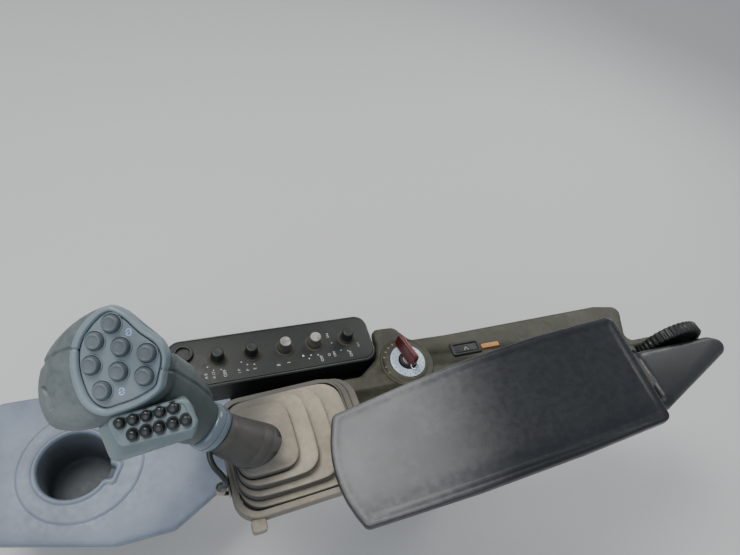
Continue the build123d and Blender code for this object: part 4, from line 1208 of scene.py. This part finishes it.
# key switch: scale ring, engraved label and the key
lock = {
    "place": (-100, 25), "label": 287.4,
    "ring": ((20, 0), (20, 1.1), (19.5, 1.5), (11.6, 1.5), (10.9, 1.2), (10.8, 0.4)),
    # fine marks on the label and coarse ones on the pod: angles and radius
    "ticks": tuple(range(0, 360, 20)), "tickAt": 17.4,
    "scale": (112, 127, 142, 158, 184, 200), "scaleAt": 26.4,
    "face": ((0, 0.3), (5, 0.3), (6.8, 0)),
    "turn": 106, "base": 291.9, "aside": (-1.8, -0.6),
    "bow": ((-11, 1.5), (23.5, 1.5), (23.5, 20.5), (-11, 20.5)),
    # width, corner and height of the printed strokes
    "tickInk": (0.5, 0.2, 0.1), "scaleInk": (1.3, 0.4, 0.16),
    # distance in from the bow's outline and half its thickness there
    "cheek": ((2.8, 2.25), (1.4, 2.75), (0.5, 2.45), (0.1, 1.85)),
    # the blade under the bow: sides and middle
    "blade": (8.2, 15, 2), "bladeAt": -1.4,
    # middle along and up the bow, radius and wire of the small ring
    "loop": (-11.5, 5, 3.6, 0.55),
}


def formLock():
    x, y = lock["place"]
    spunPiece("lockLabel", "labelSilver", lock["ring"], [at(x, y, lock["label"])], 64, "key_label")
    ticks = [(at(x, y, lock["label"] + 1.5, angle + 3 * inward) @ at(lock["tickAt"] - inward, 0, 0),
              length) for angle in lock["ticks"] for length, inward in ((2.2, 0.0), (1.2, 3.0))]
    printMarks("lockTicks", "printDark", ticks, *lock["tickInk"], like="key_label", crispAngle=30)
    scale = [(at(x, y, pod["top"] + 0.75, angle) @ at(lock["scaleAt"], 0, 0), 2.6)
             for angle in lock["scale"]]
    printMarks("lockScale", "printWorn", scale, *lock["scaleInk"], like="key_label", crispAngle=30)
    spunPiece("lockFace", "wornSteel", lock["face"], [at(x, y, lock["base"])], 40, crispAngle=40,
              like="key_label")
    # the bow of the key stands upright in its slot
    turn = radians(lock["turn"])
    upright = Matrix(((cos(turn), 0, sin(turn)), (sin(turn), 0, -cos(turn)), (0, 1, 0))).to_4x4()
    place = Matrix.Translation((x + lock["aside"][0], y + lock["aside"][1], lock["base"])) @ upright
    cheek = lock["cheek"]
    levels = [(inward, -height) for inward, height in cheek] + [(0.0, 0.0)] + list(cheek[::-1])
    stackPiece("keyBow", "keyRed", "key", lock["bow"], levels, place, 4.2, 4, crispAngle=60)
    bm = bmesh.new()
    shape = Matrix.Diagonal((*lock["blade"], 1))
    bmesh.ops.create_cube(bm, size=1, matrix=place @ at(0, lock["bladeAt"], 0) @ shape)
    finishPiece(bm, "keyBlade", "wornSteel", "key", slot="steel", crispAngle=30)
    # small wire ring through the lower end of the bow
    bm = bmesh.new()
    along, rise, radius, wire = lock["loop"]
    rings = []
    for i in range(28):
        spot = place @ Matrix.Translation((along, rise, 0)) @ Matrix.Rotation(radians(70), 4, "X")
        spot = spot @ Matrix.Rotation(2 * pi * i / 28, 4, "Z") @ Matrix.Translation((radius, 0, 0))
        rings.append(circleRing(bm, wire, spot @ Matrix.Rotation(pi / 2, 4, "X"), 8))
    loft(bm, rings + rings[:1])
    finishPiece(bm, "keyLoop", "bareSteel", like="hinge_pin")


formLock()

rocker = {
    "place": (-23, 29), "length": 38, "width": 17, "top": 285,
    "frame": ((0, 0), (0, 1.4), (0.5, 2.1), (1.2, 2.4), (2.6, 2.4), (3, 2.1), (3.1, 1),
              (3.3, 1), (3.6, 1.5), (4.4, 1.7)),
    # two printed strokes: x, y, turn
    "mark": ((-1.44, -0.96, 56), (1.44, -0.96, -56)), "ink": (0.6, 0.2, 0.12),
}


def formRocker():
    place = at(*rocker["place"], rocker["top"])
    outline = rectangle(rocker["length"], rocker["width"])
    stackPiece("rockerPlate", "blackPlastic", "blank_plate", outline, rocker["frame"], place, 2.5,
               3, 0.4, 0.8, crispAngle=45)
    strokes = [(place @ at(x, y, 1.7, turn), 4.6) for x, y, turn in rocker["mark"]]
    printMarks("rockerMark", "printWhite", strokes, *rocker["ink"], like="blank_plate",
               crispAngle=30)


formRocker()

# smooth cover at the rear and the ribbed wheel that stands in the pod's slot beside it
rearPieces = {
    "cover": ((158, -31), (286, -29.5), (306, -38), (303, -56), (172, -104), (158, -98)),
    "coverCorner": 12,
    "coverEdge": ((0, 0), (0, 2.2), (0.9, 2.8), (0.9, 3.6), (0.2, 4.4), (1, 27), (1.6, 31.5),
                  (2.8, 35), (4.8, 37.8), (7.4, 39.6), (10.4, 40.2)),
    "wheel": (250, -20, 296), "radius": 41, "ribs": 40, "ribDepth": 1.7,
    # distance in from the ribs' tips and place across the wheel, then radius and place of one face
    "rim": ((4, -7), (1.5, -7), (0, -5.5), (0, 5.5), (1.5, 7), (4, 7)),
    "hub": ((34, 7), (33, 6.2), (16, 6.2), (15, 7), (13, 7.6)),
    "stub": ((0, -29), (8.8, -29), (8.8, -7), (0, -7)),
}


def formRearPieces():
    # the cover's extra darkness is painted shade
    stackPiece("rearCover", "coverShadedPlastic", "rear_cover", rearPieces["cover"],
               rearPieces["coverEdge"], at(0, 0, pod["top"]), rearPieces["coverCorner"], ease=0.3,
               least=3, crispAngle=50)
    # ribbed wheel: every other pair of rim points stands proud
    bm = bmesh.new()
    upright = Matrix.Translation(rearPieces["wheel"]) @ Matrix.Rotation(-pi / 2, 4, "X")
    count = rearPieces["ribs"] * 4
    rings = []
    for inward, z in rearPieces["rim"]:
        ring = circleRing(bm, 1, upright @ at(0, 0, z), count)
        for i, v in enumerate(ring):
            sunk = rearPieces["ribDepth"] if i % 4 < 2 and inward < 3 else 0
            centre = upright @ Vector((0, 0, z))
            v.co = centre + (v.co - centre) * (rearPieces["radius"] - inward - sunk)
        rings.append(ring)
    front, back = [[circleRing(bm, reach, upright @ at(0, 0, side * z), count)
                    for reach, z in rearPieces["hub"]] for side in (-1, 1)]
    loft(bm, front[::-1] + rings + back, True, True)
    finishPiece(bm, "ribbedWheel", "blackPlastic", "adjust_wheel", crispAngle=40)
    # stub that carries the wheel
    spunPiece("wheelStub", "blackPlastic", rearPieces["stub"], [upright], 40, "rear_cover", 40)


formRearPieces()
print("small fittings made")


# screws that hold the bracket, the blade, the stay, the rail and the clip
bolts = {
    # side it stands on, size, head height, height of the face, places
    "console": (("up", 8, 5, 289, ((66, -88.5), (66, -51.5), (134, -88.5), (134, -51.5))),
                ("down", 8, 4.6, 110.5, ((-392, 30), (-392, 74), (-350, 74))),
                ("down", 7, 4.2, 245, ((-270, 0.5), (-190, 0.5), (-270, 66), (-190, 66))),
                ("down", 6, 4, 236, ((-264, -57), (-232, -57), (-264, -25), (-232, -25)))),
    "blade": (60, 150, 235),
}


def setBolts():
    bm = bmesh.new()
    flip = Matrix.Rotation(pi, 4, "X")
    for side, size, head, level, places in bolts["console"]:
        for x, y in places:
            place = at(x, y, level)
            addHex(bm, place if side == "up" else place @ flip, size, head)
    finishPiece(bm, "consoleBolts", "wornSteel", like="hinge_pin", crispAngle=28)
    bm = bmesh.new()
    for distance in bolts["blade"]:
        addHex(bm, armrestPlace() @ at(distance, 13.0, -armrest["thick"] - 6.0) @ flip, 6.0, 3.6)
    finishPiece(bm, "bladeScrews", "wornSteel", like="arm_blade", slot="steel", crispAngle=28)


setBolts()
print("screws set")
